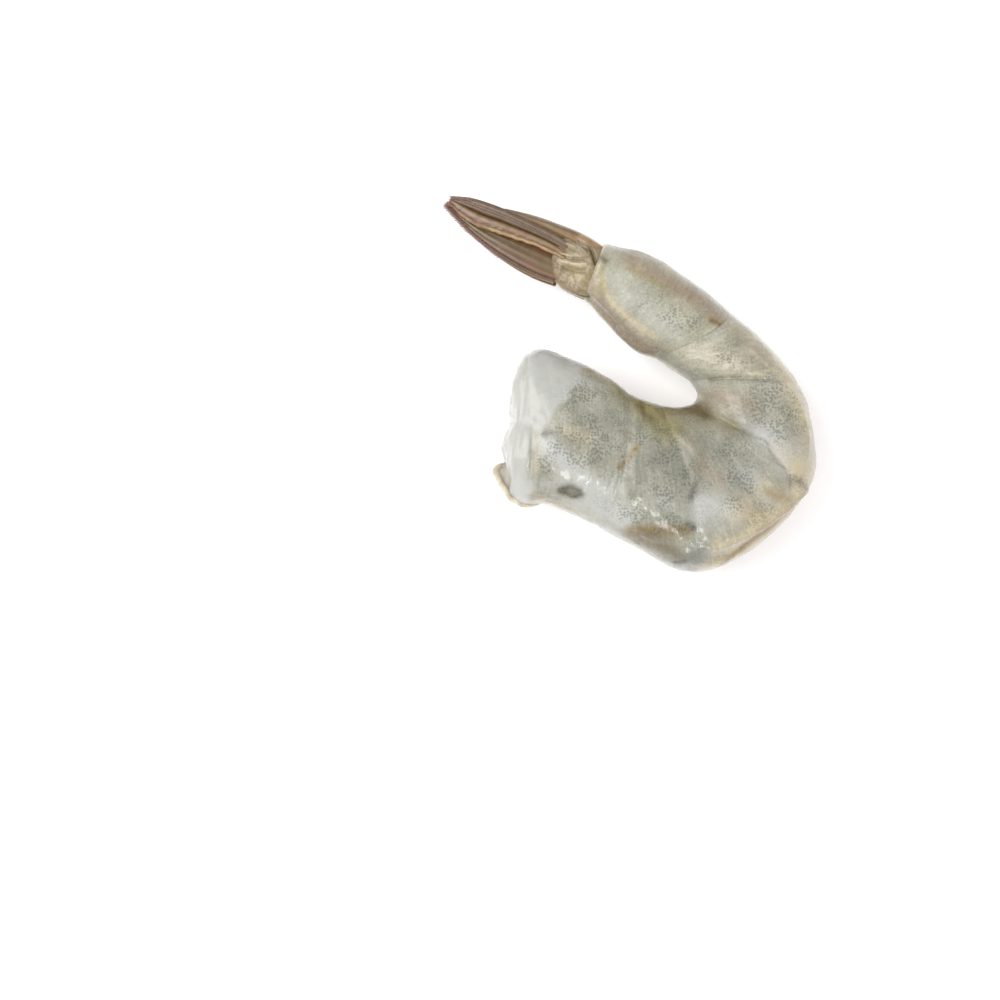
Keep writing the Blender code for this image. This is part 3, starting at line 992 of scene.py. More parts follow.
@dataclass
class PeeledMeat:
    """The meat of the first five segments, from the cut neck to where it runs into the shell.

    Each lump is a noise's pitch, height and seed. Each bulge of the neck's face is the row that it
    lies on, its half width, its height (a cleft is negative) and the levels between which it comes in.
    Each lobe of the neck is its rib place, its angle in degrees, its radius and its height.
    """

    form: BodyForm
    around: int = 168
    rings: int = 430
    neck_share: float = 0.1
    end_share: float = 0.97
    neck_start: float = 0.5
    neck_round: float = 1.8
    neck_fullness: float = 2.4
    rim_share: float = 0.02
    rim_least: float = 0.05
    rim_passes: int = 24
    side_share: float = 0.15
    neck_lumps: tuple[tuple[float, float, float], ...] = ((3.5, 0.9, 0), (1.4, 0.25, 2))
    neck_bulges: tuple[tuple[float, float, float, float, float], ...] = (
        (2.5, 3.5, 0.25, 1.0, 5.0),
        (-8.6, 2.7, 0.45, 1.0, 5.0),
        (-4.2, 0.7, -0.7, 3.0, 7.0),
    )
    end_overlap: float = 0.1
    end_inset: float = 0.4
    shell_fade: tuple[float, float] = (0.25, 0.95)
    ground_dots: float = 0.32
    side_cream: float = 0.4
    seams: tuple[Seam, ...] = (
        Seam(3.0, 3.7, 0.2, 0.35),
        Seam(4.9, 5.1, 0.3, 0.2),
        Seam(7.0, 7.0, 0.65, 0.45),
        Seam(10.0, 10.0, 0.1, 0.8),
    )
    seam_depth: float = 0.45
    seam_width: float = 1.0
    bulge: float = 0.5
    bulge_fullness: float = 0.7
    head_overhang: float = 0.6
    crowded_spacing: float = 3.0
    back_share: float = 0.35
    lumps: tuple[tuple[float, float, float], ...] = (
        (9.0, 0.35, 0), (3.5, 0.2, 1), (1.3, 0.08, 2), (0.6, 0.03, 3),
    )
    neck_lobes: tuple[tuple[float, float, float, float], ...] = (
        (0.5, 140.0, 3.2, 0.9),
        (0.2, 60.0, 3.0, 0.7),
        (0.6, 8.0, 2.2, 0.8),
        (0.8, 215.0, 3.4, 0.7),
    )
    lobe_edge: float = -26.6
    lobe_row: tuple[float, float] = (-8.5, 3.3)
    lobe_step: float = 0.35
    lobe_crease: float = 0.25
    neck_white: tuple[float, ...] = (-26.9, -27.0, -26.9, -25.9, -22.7, -19.7, -17.3)
    neck_white_start: float = -18.0
    neck_white_step: float = 4.0
    strokes: tuple[Stroke, ...] = (
        *strokes_of(Stain.GREY, (
            (((-11.8, -10.8), (-11.2, -13.6)), 0.8, 0.6),
            (((7.4, -5.6), (10.6, -6.4)), 1.0, 0.85),
            (((-13.0, -20.8), (-9.3, -22.6), (-5.0, -25.0), (-0.9, -26.4)), 1.7, 1.0),
            (((0.0, -24.4), (4.6, -24.0)), 1.8, 0.6),
            (((2.0, -10.0), (6.5, -13.0)), 3.6, 0.6),
            (((-18.5, -2.0), (-14.0, -7.0)), 3.6, 0.15),
            (((-8.0, -9.0), (-5.0, -14.0)), 3.6, 0.5),
        )),
        *strokes_of(Stain.LILAC, (
            (((2.0, 0.4), (7.5, -1.6)), 1.8, 0.8),
            (((15.6, 2.4), (17.8, -3.6), (18.4, -7.0)), 1.1, 0.35),
            (((0.2, -11.2), (2.6, -13.0)), 1.4, 0.6),
            (((3.8, 12.4), (9.6, 7.4), (14.6, 1.6)), 2.0, 0.4),
        )),
        # White strokes: the meat's own whitish flesh, and in some of them painted sheen and highlights.
        *strokes_of(Stain.WHITE, (
            # Whitish flesh with a painted sheen across the first segment's lower flank, in this stroke and
            # the next.
            (((-25.2, -7.0), (-22.0, -10.6), (-18.5, -13.0), (-15.6, -15.2)), 1.6, 1.0),
            (((-19.8, -15.8), (-15.6, -17.8), (-12.6, -19.4)), 1.7, 0.9),
            # Whitish flesh low on the third segment with a painted sheen, and in the next stroke painted
            # highlights.
            (((-0.6, -17.2), (-0.8, -19.4)), 1.7, 0.8),
            (((1.4, -17.4), (5.0, -18.4)), 1.9, 1.0),
            (((10.4, -6.6), (12.6, -8.4), (15.0, -10.5), (17.4, -12.3)), 2.2, 1.0),
            (((19.2, -12.4), (17.2, -15.4), (14.4, -18.2), (11.6, -20.0)), 0.8, 0.6),
            (((6.4, -4.0), (8.8, -5.5)), 1.0, 0.4),
            # Whitish flesh low on the second segment with a painted sheen.
            (((-13.5, -14.0), (-11.5, -19.5)), 2.0, 0.45),
            (((7.7, -12.8), (9.8, -15.2)), 1.9, 0.6),
            (((-21.4, 2.6), (-17.4, 2.0)), 1.2, 0.4),
            (((-25.0, -14.2), (-22.4, -13.6)), 1.0, 0.5),
            # A painted highlight low on the second segment.
            (((-6.4, -16.6), (-5.2, -17.4)), 1.1, 0.6),
            (((10.0, -16.4), (11.4, -17.6)), 1.0, 0.4),
            (((12.6, 3.6), (13.6, 0.6)), 1.3, 0.45),
            (((-22.8, -8.2), (-21.6, -9.4)), 1.2, 0.4),
            (((12.6, -11.4), (14.4, -13.0)), 1.2, 0.4),
            (((-5.4, 5.2), (1.4, 1.6)), 1.4, 0.3),
        )),
        *strokes_of(Stain.CREAM, (
            (((-18.6, 4.0), (-15.4, 3.0), (-11.2, 0.3), (-7.4, -1.6)), 0.5, 0.6),
            (((-4.5, -5.8), (-3.2, -7.2), (-1.8, -8.2)), 0.3, 0.4),
            (((-26.0, -5.6), (-26.1, -11.6)), 0.5, 0.3),
            (((-5.6, 5.6), (-3.4, 4.0), (-2.6, 2.2), (0.3, -0.2)), 0.4, 0.8),
            (((8.4, 3.4), (10.6, 3.6)), 0.6, 0.6),
            (((8.0, 7.0), (12.5, 3.2), (16.5, -1.5), (17.8, -6.0)), 0.5, 0.5),
            (((-1.0, 7.0), (6.0, 5.0)), 2.4, 0.4),
            (((18.4, -12.2), (16.8, -15.5), (13.6, -19.7), (9.1, -23.4), (5.4, -25.9),
              (1.0, -28.4)), 1.6, 1.0),
            (((17.1, -14.9), (14.2, -17.3), (11.5, -19.2), (8.8, -21.0), (5.6, -22.6),
              (2.4, -23.7)), 1.2, 0.85),
            (((10.0, -14.8), (13.8, -16.8)), 1.9, 0.7),
            (((15.2, -11.6), (16.2, -14.4)), 1.6, 0.75),
            (((4.6, -19.0), (9.6, -20.0)), 1.4, 0.5),
            (((12.2, 6.2), (15.2, 1.4), (16.6, -3.6)), 1.0, 0.5),
            (((-20.8, -5.8), (-18.4, -6.6)), 1.3, 0.45),
            (((14.2, 0.6), (16.4, -3.6), (17.6, -8.4)), 2.2, 0.6),
            (((12.6, -8.8), (16.8, -12.0)), 2.0, 0.4),
            (((5.4, 11.6), (10.7, 7.4), (14.4, 3.0)), 1.3, 0.45),
            (((6.4, -17.4), (10.0, -19.6)), 1.6, 0.5),
        )),
        *strokes_of(Stain.TAN, (
            (((16.8, -15.9), (14.0, -18.4), (10.9, -20.8), (7.2, -23.4), (3.5, -27.0)), 0.45, 0.8),
            (((-11.2, -21.4), (-7.0, -21.2), (-2.4, -21.4)), 0.9, 1.0),
            (((-9.3, -1.4), (-7.9, -3.4)), 0.8, 0.7),
            (((-13.0, -11.4), (-11.6, -10.2), (-10.4, -8.5)), 0.5, 1.0),
            (((10.6, -15.2), (13.6, -16.4)), 0.8, 0.7),
            (((-26.2, -15.8), (-23.8, -16.8), (-20.4, -18.0)), 0.5, 0.6),
            (((6.4, -16.6), (10.0, -19.4)), 1.6, 0.3),
            (((-10.0, -1.2), (-4.6, -1.9), (0.2, -2.0)), 1.2, 0.6),
            (((10.4, -21.4), (6.8, -24.2), (2.0, -26.6)), 1.0, 0.35),
        )),
        *strokes_of(Stain.YELLOW, (
            (((-7.4, -2.1), (-5.6, -3.8), (-4.2, -5.2)), 1.9, 0.9),
            (((-13.0, 0.6), (-9.5, -2.2), (-6.0, -6.4)), 1.6, 0.55),
            (((-2.0, -2.0), (2.4, -3.6), (5.0, -4.8)), 1.1, 0.5),
            (((-11.0, -9.2), (-10.2, -8.2)), 0.45, 0.9),
        )),
        *strokes_of(Stain.OLIVE, (
            (((-11.0, -22.4), (-7.0, -23.8), (-3.4, -25.2)), 1.2, 0.6),
            (((-9.4, -21.5), (-3.0, -21.3)), 0.9, 0.5),
            (((14.8, -13.2), (16.6, -14.2)), 0.7, 0.55),
            (((-11.6, -6.4), (-10.9, -9.6)), 0.9, 0.35),
            (((-11.6, -13.4), (-11.2, -15.2)), 0.8, 0.6),
            (((-3.0, -5.6), (-0.4, -8.6), (-0.5, -11.6)), 1.3, 0.45),
            (((-8.6, -22.4), (-4.6, -23.1)), 1.0, 0.4),
            (((-4.8, 0.0), (-2.2, -0.8), (0.8, -2.4)), 1.3, 1.0),
            (((-3.4, -2.2), (0.4, -3.6), (4.4, -5.2)), 2.0, 0.45),
            (((-9.8, -1.6), (-8.6, -3.0), (-7.7, -3.7)), 0.7, 0.8),
            (((-21.6, -15.0), (-19.4, -15.3)), 0.8, 0.75),
        )),
        *strokes_of(Stain.DOTS, (
            (((14.6, -13.0), (16.6, -14.4)), 0.8, 0.8),
            (((-18.6, -0.5), (-16.0, -5.0)), 3.6, 0.8),
            (((-22.0, -7.5), (-17.0, -9.5), (-14.5, -10.5)), 2.4, 0.95),
            (((-24.8, -9.5), (-24.2, -13.4)), 1.1, 0.8),
            (((-7.0, -7.5), (-4.5, -12.0), (-8.5, -16.5)), 3.2, 1.0),
            (((-11.0, -18.5), (-3.0, -20.0)), 2.0, 0.8),
            (((4.0, -9.0), (5.5, -14.0)), 3.4, 0.75),
            (((6.4, -16.6), (10.0, -19.0)), 1.8, 0.5),
            (((10.5, 0.5), (14.5, -3.0)), 2.4, 1.0),
            (((8.5, -3.0), (13.5, -7.0)), 1.6, 0.6),
            (((1.0, 6.5), (6.0, 5.0)), 2.6, 0.5),
        )),
        *strokes_of(Stain.DARK, (
            (((-22.2, -14.9), (-20.6, -14.4), (-19.2, -15.0)), 0.42, 0.75),
            (((-22.0, -15.2), (-20.4, -15.9), (-18.9, -15.7)), 0.5, 0.75),
            (((-24.8, -5.9), (-23.4, -5.8)), 0.35, 0.8),
            (((-1.2, -14.2), (-1.2, -15.2), (-1.8, -16.2)), 0.55, 0.7),
            (((-2.2, -20.2), (-1.4, -20.8)), 0.55, 0.9),
            # A painted shadow: the dark gap under the edge of the flap along the back.
            (((-4.0, -26.3), (-2.4, -26.2)), 0.28, 0.9),
        )),
    )
    seam_lines: tuple[tuple[Point, ...], ...] = (
        ((-10.4, -8.5), (-11.6, -10.2), (-13.0, -11.4)),
        ((-0.9, -13.4), (-1.2, -15.0)),
        ((5.1, -5.0), (8.3, -6.4), (10.2, -7.4), (11.5, -10.1), (13.6, -12.2), (14.2, -14.6)),
        ((1.4, 2.7), (4.6, 2.9), (8.3, 2.7), (10.2, 2.4), (13.4, 2.0)),
    )
    folds: tuple[Fold, ...] = (
        Fold(((-26.6, -4.8), (-26.7, -8.5), (-26.8, -12.3)), 0.1, 0.25),
        Fold(((-30.0, -2.6), (-27.4, -4.2), (-24.4, -5.6)), 0.3, 0.8),
        Fold(((17.1, -14.9), (14.2, -17.3), (11.5, -19.2), (8.8, -21.0), (5.6, -22.6), (2.4, -23.7),
              (-1.0, -24.0)), -0.5, 0.5),
        Fold(((16.8, -15.9), (14.0, -18.4), (10.9, -20.8), (7.2, -23.2), (3.6, -25.0), (-0.4, -25.4)),
             0.25, 0.4),
        Fold(((-9.3, -22.9), (-4.5, -23.8), (0.3, -24.2)), 0.3, 0.7),
        Fold(((1.4, 2.7), (4.6, 2.9), (8.3, 2.7), (10.2, 2.4)), 0.25, 0.3),
        Fold(((-13.8, -12.2), (-14.6, -15.0), (-14.9, -17.6)), 0.2, 0.35),
        Fold(((-12.9, -12.6), (-13.6, -15.0), (-14.1, -17.9)), 0.15, 0.3),
        Fold(((-17.0, -11.6), (-17.4, -13.4), (-18.2, -15.6)), 0.15, 0.4),
        Fold(((-7.5, -4.0), (-5.0, -6.1), (-2.9, -7.8)), 0.15, 0.7),
        Fold(((0.6, -2.4), (3.0, -3.6), (5.4, -5.0)), 0.14, 0.6),
        Fold(((-8.8, -1.6), (-8.6, -3.4), (-9.6, -5.4)), 0.25, 0.5),
        Fold(((13.4, 1.8), (15.6, -1.4), (16.9, -6.0), (16.6, -9.6)), -0.25, 0.45),
        Fold(((12.4, 0.8), (14.5, -2.4), (15.6, -6.4)), 0.15, 0.5),
    )

    def seam_place(self, seam: Seam, angle: np.ndarray) -> np.ndarray:
        """Rib places where a seam crosses the body at angles round it."""
        share = (1 - np.cos(angle)) / 2
        return mixed(seam.back, seam.belly, share) + seam.bow * np.sin(share * math.pi)

    def segment_relief(self, place: np.ndarray, angle: np.ndarray) -> np.ndarray:
        """Raise each peeled segment as a bulge, and sink the seams between them.

        Args:
            place: Rib places.
            angle: Angles round the slices.

        Returns:
            Height over the body's smooth surface, in millimetres.
        """
        spacing = self.form.spacing(place, angle)
        first = np.full_like(place, self.form.head_rib - self.head_overhang)
        last = np.full_like(place, self.form.shell_rib)
        edges = [first] + [self.seam_place(seam, angle) for seam in self.seams] + [last]
        height = np.zeros_like(place)
        for start, end in zip(edges, edges[1:]):
            share = np.clip(way_between(start, end, place), 0.0, 1.0)
            height = np.maximum(height, self.bulge * np.sin(math.pi * share) ** self.bulge_fullness)
        for seam, edge in zip(self.seams, edges[1:-1]):
            height -= self.seam_depth * seam.depth_share * bell((place - edge) * spacing, self.seam_width)
        fade = mixed(self.back_share, 1.0, np.abs(np.sin(angle)))
        return height * np.minimum(1.0, spacing / self.crowded_spacing) * fade

    def neck_relief(self, points: np.ndarray) -> np.ndarray:
        """Raise the lobes of meat round the cut neck.

        Args:
            points: Places on the body's smooth surface.

        Returns:
            Height over that surface, in millimetres.
        """
        height = np.zeros(len(points))
        for rib, degrees, radius, rise in self.neck_lobes:
            crown = self.form.surface(np.array([rib]), np.array([math.radians(degrees)]))[0][0]
            height += rise * bell(np.linalg.norm(points - crown, axis=1), radius)
        before_edge = np.clip((points[:, 0] - self.lobe_edge) / self.lobe_crease, -30.0, 30.0)
        row, reach = self.lobe_row
        beside_row = np.exp(-(((points[:, 1] - row) / reach) ** 4))
        return height + self.lobe_step / (1 + np.exp(before_edge)) * beside_row

    def fold_relief(self, points: np.ndarray, facing: np.ndarray) -> np.ndarray:
        """Creases and ridges that the flank shows, mirrored on the other flank."""
        sunk = sum(fold.sink(points) for fold in self.folds)
        return -sunk * smoothstep(0.1, 0.5, np.abs(facing[:, 2]))

    def surface(self, place: np.ndarray, angle: np.ndarray) -> np.ndarray:
        """Find the finished surface of the meat, flat where it rests.

        Args:
            place: Rib places.
            angle: Angles round the slices.

        Returns:
            Points in plan millimetres.
        """
        points, facing = self.form.surface(place, angle)
        height = self.segment_relief(place, angle) + self.neck_relief(points)
        height += self.fold_relief(points, facing) + lumpy(points, self.lumps)
        low, high = self.shell_fade
        height *= np.clip((self.form.shell_rib - low - place) / (high - low), 0.0, 1.0)
        points = points + facing * height[:, None]
        points[:, 2] = np.maximum(points[:, 2], 0.0)
        return points

    def neck_face(self, out: np.ndarray, angle: np.ndarray) -> np.ndarray:
        """Close the cut neck with a rounded, lumpy face.

        Args:
            out: Shares of the way from the face's middle to its rim.
            angle: Angles round the slices.

        Returns:
            Points in plan millimetres.
        """
        spread = np.sin(out * math.pi / 2)
        spot = np.full(len(out), self.neck_start)
        middle = self.form.centre(spot)
        flat = middle + (self.surface(spot, angle) - middle) * spread[:, None]
        dome = self.neck_round + lumpy(flat, self.neck_lumps)
        for row, reach, bulge, low, high in self.neck_bulges:
            dome += bulge * bell(flat[:, 1] - row, reach) * smoothstep(low, high, flat[:, 2])
        dome *= (1 - spread**self.neck_fullness) ** (1 / self.neck_fullness)
        return flat - self.form.heading(0.0)[None, :] * dome[:, None]

    def shape(self, share: np.ndarray, angle: np.ndarray) -> np.ndarray:
        """Places on the meat from the cut neck (0) to its end inside the shell (1).

        Args:
            share: Shares of the way along.
            angle: Angles round the slices.

        Returns:
            Points in plan millimetres.
        """
        points = np.zeros((len(share), 3))
        neck = share < self.neck_share
        points[neck] = self.neck_face(share[neck] / self.neck_share, angle[neck])
        last_rib = self.form.shell_rib + self.end_overlap
        body = (share >= self.neck_share) & (share < self.end_share)
        run = way_between(self.neck_share, self.end_share, share[body])
        points[body] = self.surface(mixed(self.neck_start, last_rib, run), angle[body])
        end = share >= self.end_share
        cap = way_between(self.end_share, 1, share[end])
        spot = np.full(end.sum(), last_rib)
        last, facing = self.form.surface(spot, angle[end])
        centre = self.form.centre(spot)
        points[end] = centre + (last - facing * self.end_inset - centre) * (1 - cap)[:, None]
        return points

    def dress_skin(self, piece: bpy.types.Object, points: np.ndarray, place: np.ndarray,
                   angle: np.ndarray) -> None:
        """Keep the stains, the seam distances and the laid-out places as attributes.

        Args:
            piece: The meat.
            points: Its vertices in plan millimetres.
            place: Their rib places.
            angle: Their angles round the slices.
        """
        row = (points[:, 1] - self.neck_white_start) / self.neck_white_step
        edge = read_spline(self.neck_white, np.clip(row, 0.0, len(self.neck_white) - 1.0))
        white = 1 - smoothstep(-0.9, 1.1, points[:, 0] - edge + noise_at(points, 2.0, 7) * 1.2)
        upper = smoothstep(0.05, 0.4, np.abs(self.form.surface(place, angle)[1][:, 2]))
        side_cream = np.clip(0.2 + 0.7 * noise_at(points, 5.0, 21), 0.0, self.side_cream)
        grounds = {
            Stain.WHITE: white,
            Stain.DOTS: self.ground_dots * (1 - white),
            Stain.CREAM: (1 - upper) * (1 - white) * side_cream,
        }
        paint(piece, points, self.strokes, grounds, mixed(self.side_share, 1.0, upper))
        seam = np.min([line_distance(points, line) for line in self.seam_lines], axis=0)
        combed = self.form.combed(place, angle)
        cut = place < self.neck_start
        combed[cut] = points[cut]
        store_skin(piece, self.form.unrolled(place, angle), combed, seam)

    def soften_rim(self, piece: bpy.types.Object, share: np.ndarray) -> None:
        """Smooth the edge where the flank turns over into the cut.

        Args:
            piece: The meat.
            share: Its vertices' shares of the way along.
        """
        group = piece.vertex_groups.new(name="cut_rim")
        weight = bell(share - self.neck_share, self.rim_share)
        for number in np.nonzero(weight > self.rim_least)[0]:
            group.add([int(number)], float(weight[number]), "REPLACE")
        softer = piece.modifiers.new("softer_rim", "SMOOTH")
        softer.vertex_group = group.name
        softer.factor = 0.5
        softer.iterations = self.rim_passes
        apply_modifiers(piece)
        piece.vertex_groups.clear()

    def build(self, finish: bpy.types.Material) -> bpy.types.Object:
        """Make the meat and dress it.

        Args:
            finish: The wet flesh.

        Returns:
            The finished piece.
        """
        piece = add_ball("wet_peeled_meat", self.around, self.rings)
        share, angle = ball_places(piece, self.rings)
        points = self.shape(share, angle)
        write_points(piece, to_frame(points))
        self.soften_rim(piece, share)
        run = way_between(self.neck_share, self.end_share, share)
        place = np.clip(mixed(self.neck_start, self.form.shell_rib, run), 0.0, self.form.shell_rib)
        self.dress_skin(piece, points, place, angle)
        face_outwards(piece)
        dress(piece, finish, "peeled_meat")
        return piece


@dataclass
class NeckLip:
    """The thin lip of skin that stands out past the cut, under the lower lobe of the neck.

    Its stops run along it: where it leaves the meat with its height, then its rim with its height.
    """

    stops: tuple[tuple[Point, float, Point, float], ...] = (
        ((-29.0, -10.0), 9.0, (-30.4, -10.9), 8.6),
        ((-29.0, -10.7), 9.4, (-31.9, -11.1), 9.2),
        ((-29.0, -11.6), 9.8, (-32.6, -12.0), 9.8),
        ((-28.8, -12.8), 9.8, (-32.1, -13.8), 10.0),
        ((-28.2, -13.8), 9.6, (-31.0, -15.4), 9.8),
        ((-27.2, -14.6), 9.2, (-29.5, -16.7), 9.2),
        ((-26.0, -15.0), 8.8, (-27.6, -17.4), 8.4),
        ((-24.8, -15.4), 8.4, (-25.6, -16.9), 7.8),
        ((-24.0, -15.4), 8.2, (-24.2, -15.8), 7.6),
    )
    thickness: float = 0.85
    cup: float = 0.45
    bead: float = 0.35
    bead_place: float = 0.92
    bead_width: float = 0.08
    waviness: tuple[float, float, float] = (0.2, 0.2, 0.4)
    along: int = 140
    across: int = 30
    strokes: tuple[Stroke, ...] = (
        *strokes_of(Stain.GREY, (
            # A painted glint: bluish grey near the lip's right end.
            (((-27.0, -16.2), (-25.8, -16.6)), 0.6, 0.4),
        )),
        *strokes_of(Stain.WHITE, (
            (((-30.6, -11.4), (-30.4, -13.2), (-29.2, -14.8)), 0.8, 0.7),
        )),
        *strokes_of(Stain.CREAM, (
            (((-32.0, -10.7), (-32.6, -12.0), (-32.1, -13.8), (-31.0, -15.4), (-29.5, -16.7)), 0.4, 0.2),
        )),
        *strokes_of(Stain.TAN, (
            (((-29.8, -15.4), (-28.6, -16.4)), 0.5, 0.35),
        )),
    )

    def build(self, finish: bpy.types.Material) -> bpy.types.Object:
        """Make the lip and dress it.

        Args:
            finish: The pale skin of the cut.

        Returns:
            The finished piece.
        """
        piece, run, cross = add_sheet("neck_lip", self.along, self.across)
        flat_stops = [(*root, low, *rim, high) for root, low, rim, high in self.stops]
        spot = run * (len(self.stops) - 1)
        columns = [read_spline([stop[column] for stop in flat_stops], spot) for column in range(6)]
        root = np.stack(columns[:3], axis=1)
        rim = np.stack(columns[3:], axis=1)
        points = root + (rim - root) * cross[:, None]
        points[:, 2] += self.bead * bell(cross - self.bead_place, self.bead_width)
        points[:, 2] -= self.cup * np.sin(math.pi * cross)
        points += noise_at(points, 1.8, 17)[:, None] * np.array(self.waviness) * cross[:, None]
        write_points(piece, to_frame(points))
        paint(piece, points, self.strokes, {})
        store_skin(piece, points * np.array([1.0, 1.0, 0.0]), points)
        thicken(piece, self.thickness)
        face_outwards(piece)
        dress(piece, finish, None)
        return piece


# The shell left on the last segment


@dataclass
class LastShell:
    """The thin shell over the sixth segment: a bowed front lip over the meat and a raised rear rim."""

    form: BodyForm
    around: int = 128
    rings: int = 200
    front_share: float = 0.08
    lip_share: float = 0.13
    rear_share: float = 0.9
    step: float = 0.35
    least_step: float = 0.05
    front_bow: float = 0.26
    front_inset: float = 0.6
    lip_inset: float = 0.25
    rim_angle: float = 152.0
    rim_groove: float = 0.35
    groove_width: float = 9.0
    rear_rim: float = 0.2
    rear_rim_width: float = 0.12
    lumps: tuple[tuple[float, float, float], ...] = ((2.4, 0.1, 3), (0.9, 0.03, 5))
    ground_dots: float = 0.15
    rear_roll: float = 0.6
    rear_squareness: float = 6.0
    strokes: tuple[Stroke, ...] = (
        *strokes_of(Stain.GREY, (
            (((-15.6, 15.0), (-12.0, 10.0), (-8.4, 6.6)), 0.9, 0.85),
        )),
        *strokes_of(Stain.LILAC, (
            (((-10.6, 21.6), (-4.5, 18.2), (1.1, 14.2), (3.8, 12.0)), 1.6, 0.9),
            (((-16.6, 17.9), (-14.7, 13.6), (-10.9, 9.4), (-7.7, 7.2)), 1.5, 1.0),
        )),
        *strokes_of(Stain.WHITE, (
            (((-13.0, 18.0), (-9.0, 14.0), (-5.0, 11.0)), 2.4, 0.4),
        )),
        *strokes_of(Stain.CREAM, (
            (((-15.7, 19.7), (-14.1, 15.5), (-10.9, 12.3), (-7.0, 9.4)), 0.45, 0.9),
            (((-16.0, 20.6), (-16.3, 16.8)), 0.8, 0.5),
        )),
        *strokes_of(Stain.TAN, (
            (((-11.2, 20.6), (-6.1, 18.1), (-1.3, 15.5)), 0.8, 0.35),
            (((1.6, 12.3), (4.2, 11.0)), 0.6, 0.9),
        )),
        *strokes_of(Stain.YELLOW, (
            (((-15.8, 20.0), (-15.4, 16.8)), 0.8, 0.5),
            (((-11.2, 20.6), (-6.1, 17.4)), 0.4, 0.5),
        )),
        *strokes_of(Stain.OLIVE, (
            (((1.8, 12.0), (3.2, 11.4)), 0.35, 0.8),
            (((-16.3, 22.6), (-14.9, 21.6)), 0.5, 0.8),
        )),
        *strokes_of(Stain.DOTS, (
            (((-8.0, 15.0), (-4.5, 13.0), (-1.5, 11.5)), 2.2, 0.85),
        )),
        *strokes_of(Stain.DARK, (
            (((-13.1, 24.2), (-7.7, 22.6), (-1.3, 19.0), (4.5, 14.2)), 0.22, 0.7),
            (((-13.3, 24.3), (-12.9, 24.2)), 0.3, 0.9),
        )),
    )

    def front_place(self, angle: np.ndarray) -> np.ndarray:
        """Rib places of the bowed front edge."""
        share = (1 - np.cos(angle)) / 2
        return self.form.shell_rib - self.front_bow * np.sin(share * math.pi) ** 0.7

    def proud(self, place: np.ndarray, angle: np.ndarray) -> np.ndarray:
        """How far the shell stands over the body's smooth surface.

        Args:
            place: Rib places.
            angle: Angles round the slices.

        Returns:
            Height in millimetres.
        """
        degrees = np.degrees(angle)
        height = self.step * smoothstep(-0.05, 0.6, place - self.front_place(angle)) + self.least_step
        for line in (self.rim_angle, 360 - self.rim_angle):
            height -= self.rim_groove * bell(degrees - line, self.groove_width)
        return height + self.rear_rim * bell(self.form.rear_rib - place, self.rear_rim_width)

    def surface(self, place: np.ndarray, angle: np.ndarray, under: float = 0.0) -> np.ndarray:
        """Find the outer surface of the shell, or one a little under it.

        Args:
            place: Rib places.
            angle: Angles round the slices.
            under: How far under it, in millimetres.

        Returns:
            Points in plan millimetres.
        """
        points, facing = self.form.surface(place, angle)
        height = self.proud(place, angle) - under + lumpy(points, self.lumps)
        return points + facing * height[:, None]

    def shape(self, share: np.ndarray, angle: np.ndarray) -> np.ndarray:
        """Places on the shell from the middle of its front (0) to the middle of its rear (1).

        Args:
            share: Shares of the way along.
            angle: Angles round the slices.

        Returns:
            Points in plan millimetres.
        """
        points = np.zeros((len(share), 3))
        front = share < self.front_share
        spot = np.full(front.sum(), self.form.shell_rib)
        rim = self.surface(spot, angle[front], self.front_inset)
        centre = self.form.centre(spot)
        points[front] = centre + (rim - centre) * (share[front] / self.front_share)[:, None]
        lip = (share >= self.front_share) & (share < self.lip_share)
        run = way_between(self.front_share, self.lip_share, share[lip])
        place = mixed(self.form.shell_rib, self.front_place(angle[lip]), run)
        points[lip] = self.surface(place, angle[lip], self.lip_inset)
        body = (share >= self.lip_share) & (share < self.rear_share)
        run = way_between(self.lip_share, self.rear_share, share[body])
        place = mixed(self.front_place(angle[body]), self.form.rear_rib, run)
        points[body] = self.surface(place, angle[body])
        rear = share >= self.rear_share
        cap = way_between(self.rear_share, 1, share[rear])
        spot = np.full(rear.sum(), self.form.rear_rib)
        rim = self.surface(spot, angle[rear])
        centre = self.form.centre(spot)
        roll = (1 - (1 - cap) ** self.rear_squareness) ** (1 / self.rear_squareness) * self.rear_roll
        outwards = self.form.heading(self.form.rear_rib) * roll[:, None]
        points[rear] = centre + (rim - centre) * (1 - cap)[:, None] + outwards
        points[:, 2] = np.maximum(points[:, 2], 0.0)
        return points

    def build(self, finish: bpy.types.Material) -> bpy.types.Object:
        """Make the shell and dress it.

        Args:
            finish: The wet shell.

        Returns:
            The finished piece.
        """
        piece = add_ball("last_segment_shell", self.around, self.rings)
        share, angle = ball_places(piece, self.rings)
        points = self.shape(share, angle)
        write_points(piece, to_frame(points))
        run = np.clip(way_between(self.lip_share, self.rear_share, share), 0.0, 1.0)
        place = mixed(self.form.shell_rib, self.form.rear_rib, run)
        paint(piece, points, self.strokes, {Stain.DOTS: np.full(len(points), self.ground_dots)})
        store_skin(piece, self.form.unrolled(place, angle), self.form.combed(place, angle))
        face_outwards(piece)
        dress(piece, finish, "sixth_segment_shell")
        return piece


# The tail fan


@dataclass
class FanFrame:
    """Where the fan sits: X runs to its tip, Y to the belly side and Z to the upper flank."""

    start: Point = (-18.1, 21.6)
    height: float = 6.4
    heading: float = 155.1
    droop: float = 7.4

    def turn(self) -> Matrix:
        """The turn from the fan's own frame to the plan."""
        return Euler((0.0, math.radians(self.droop), math.radians(self.heading))).to_matrix()

    def place(self, points: np.ndarray) -> np.ndarray:
        """Turn points of the fan's own frame into plan points."""
        return points @ np.array(self.turn()).T + np.array([*self.start, self.height])


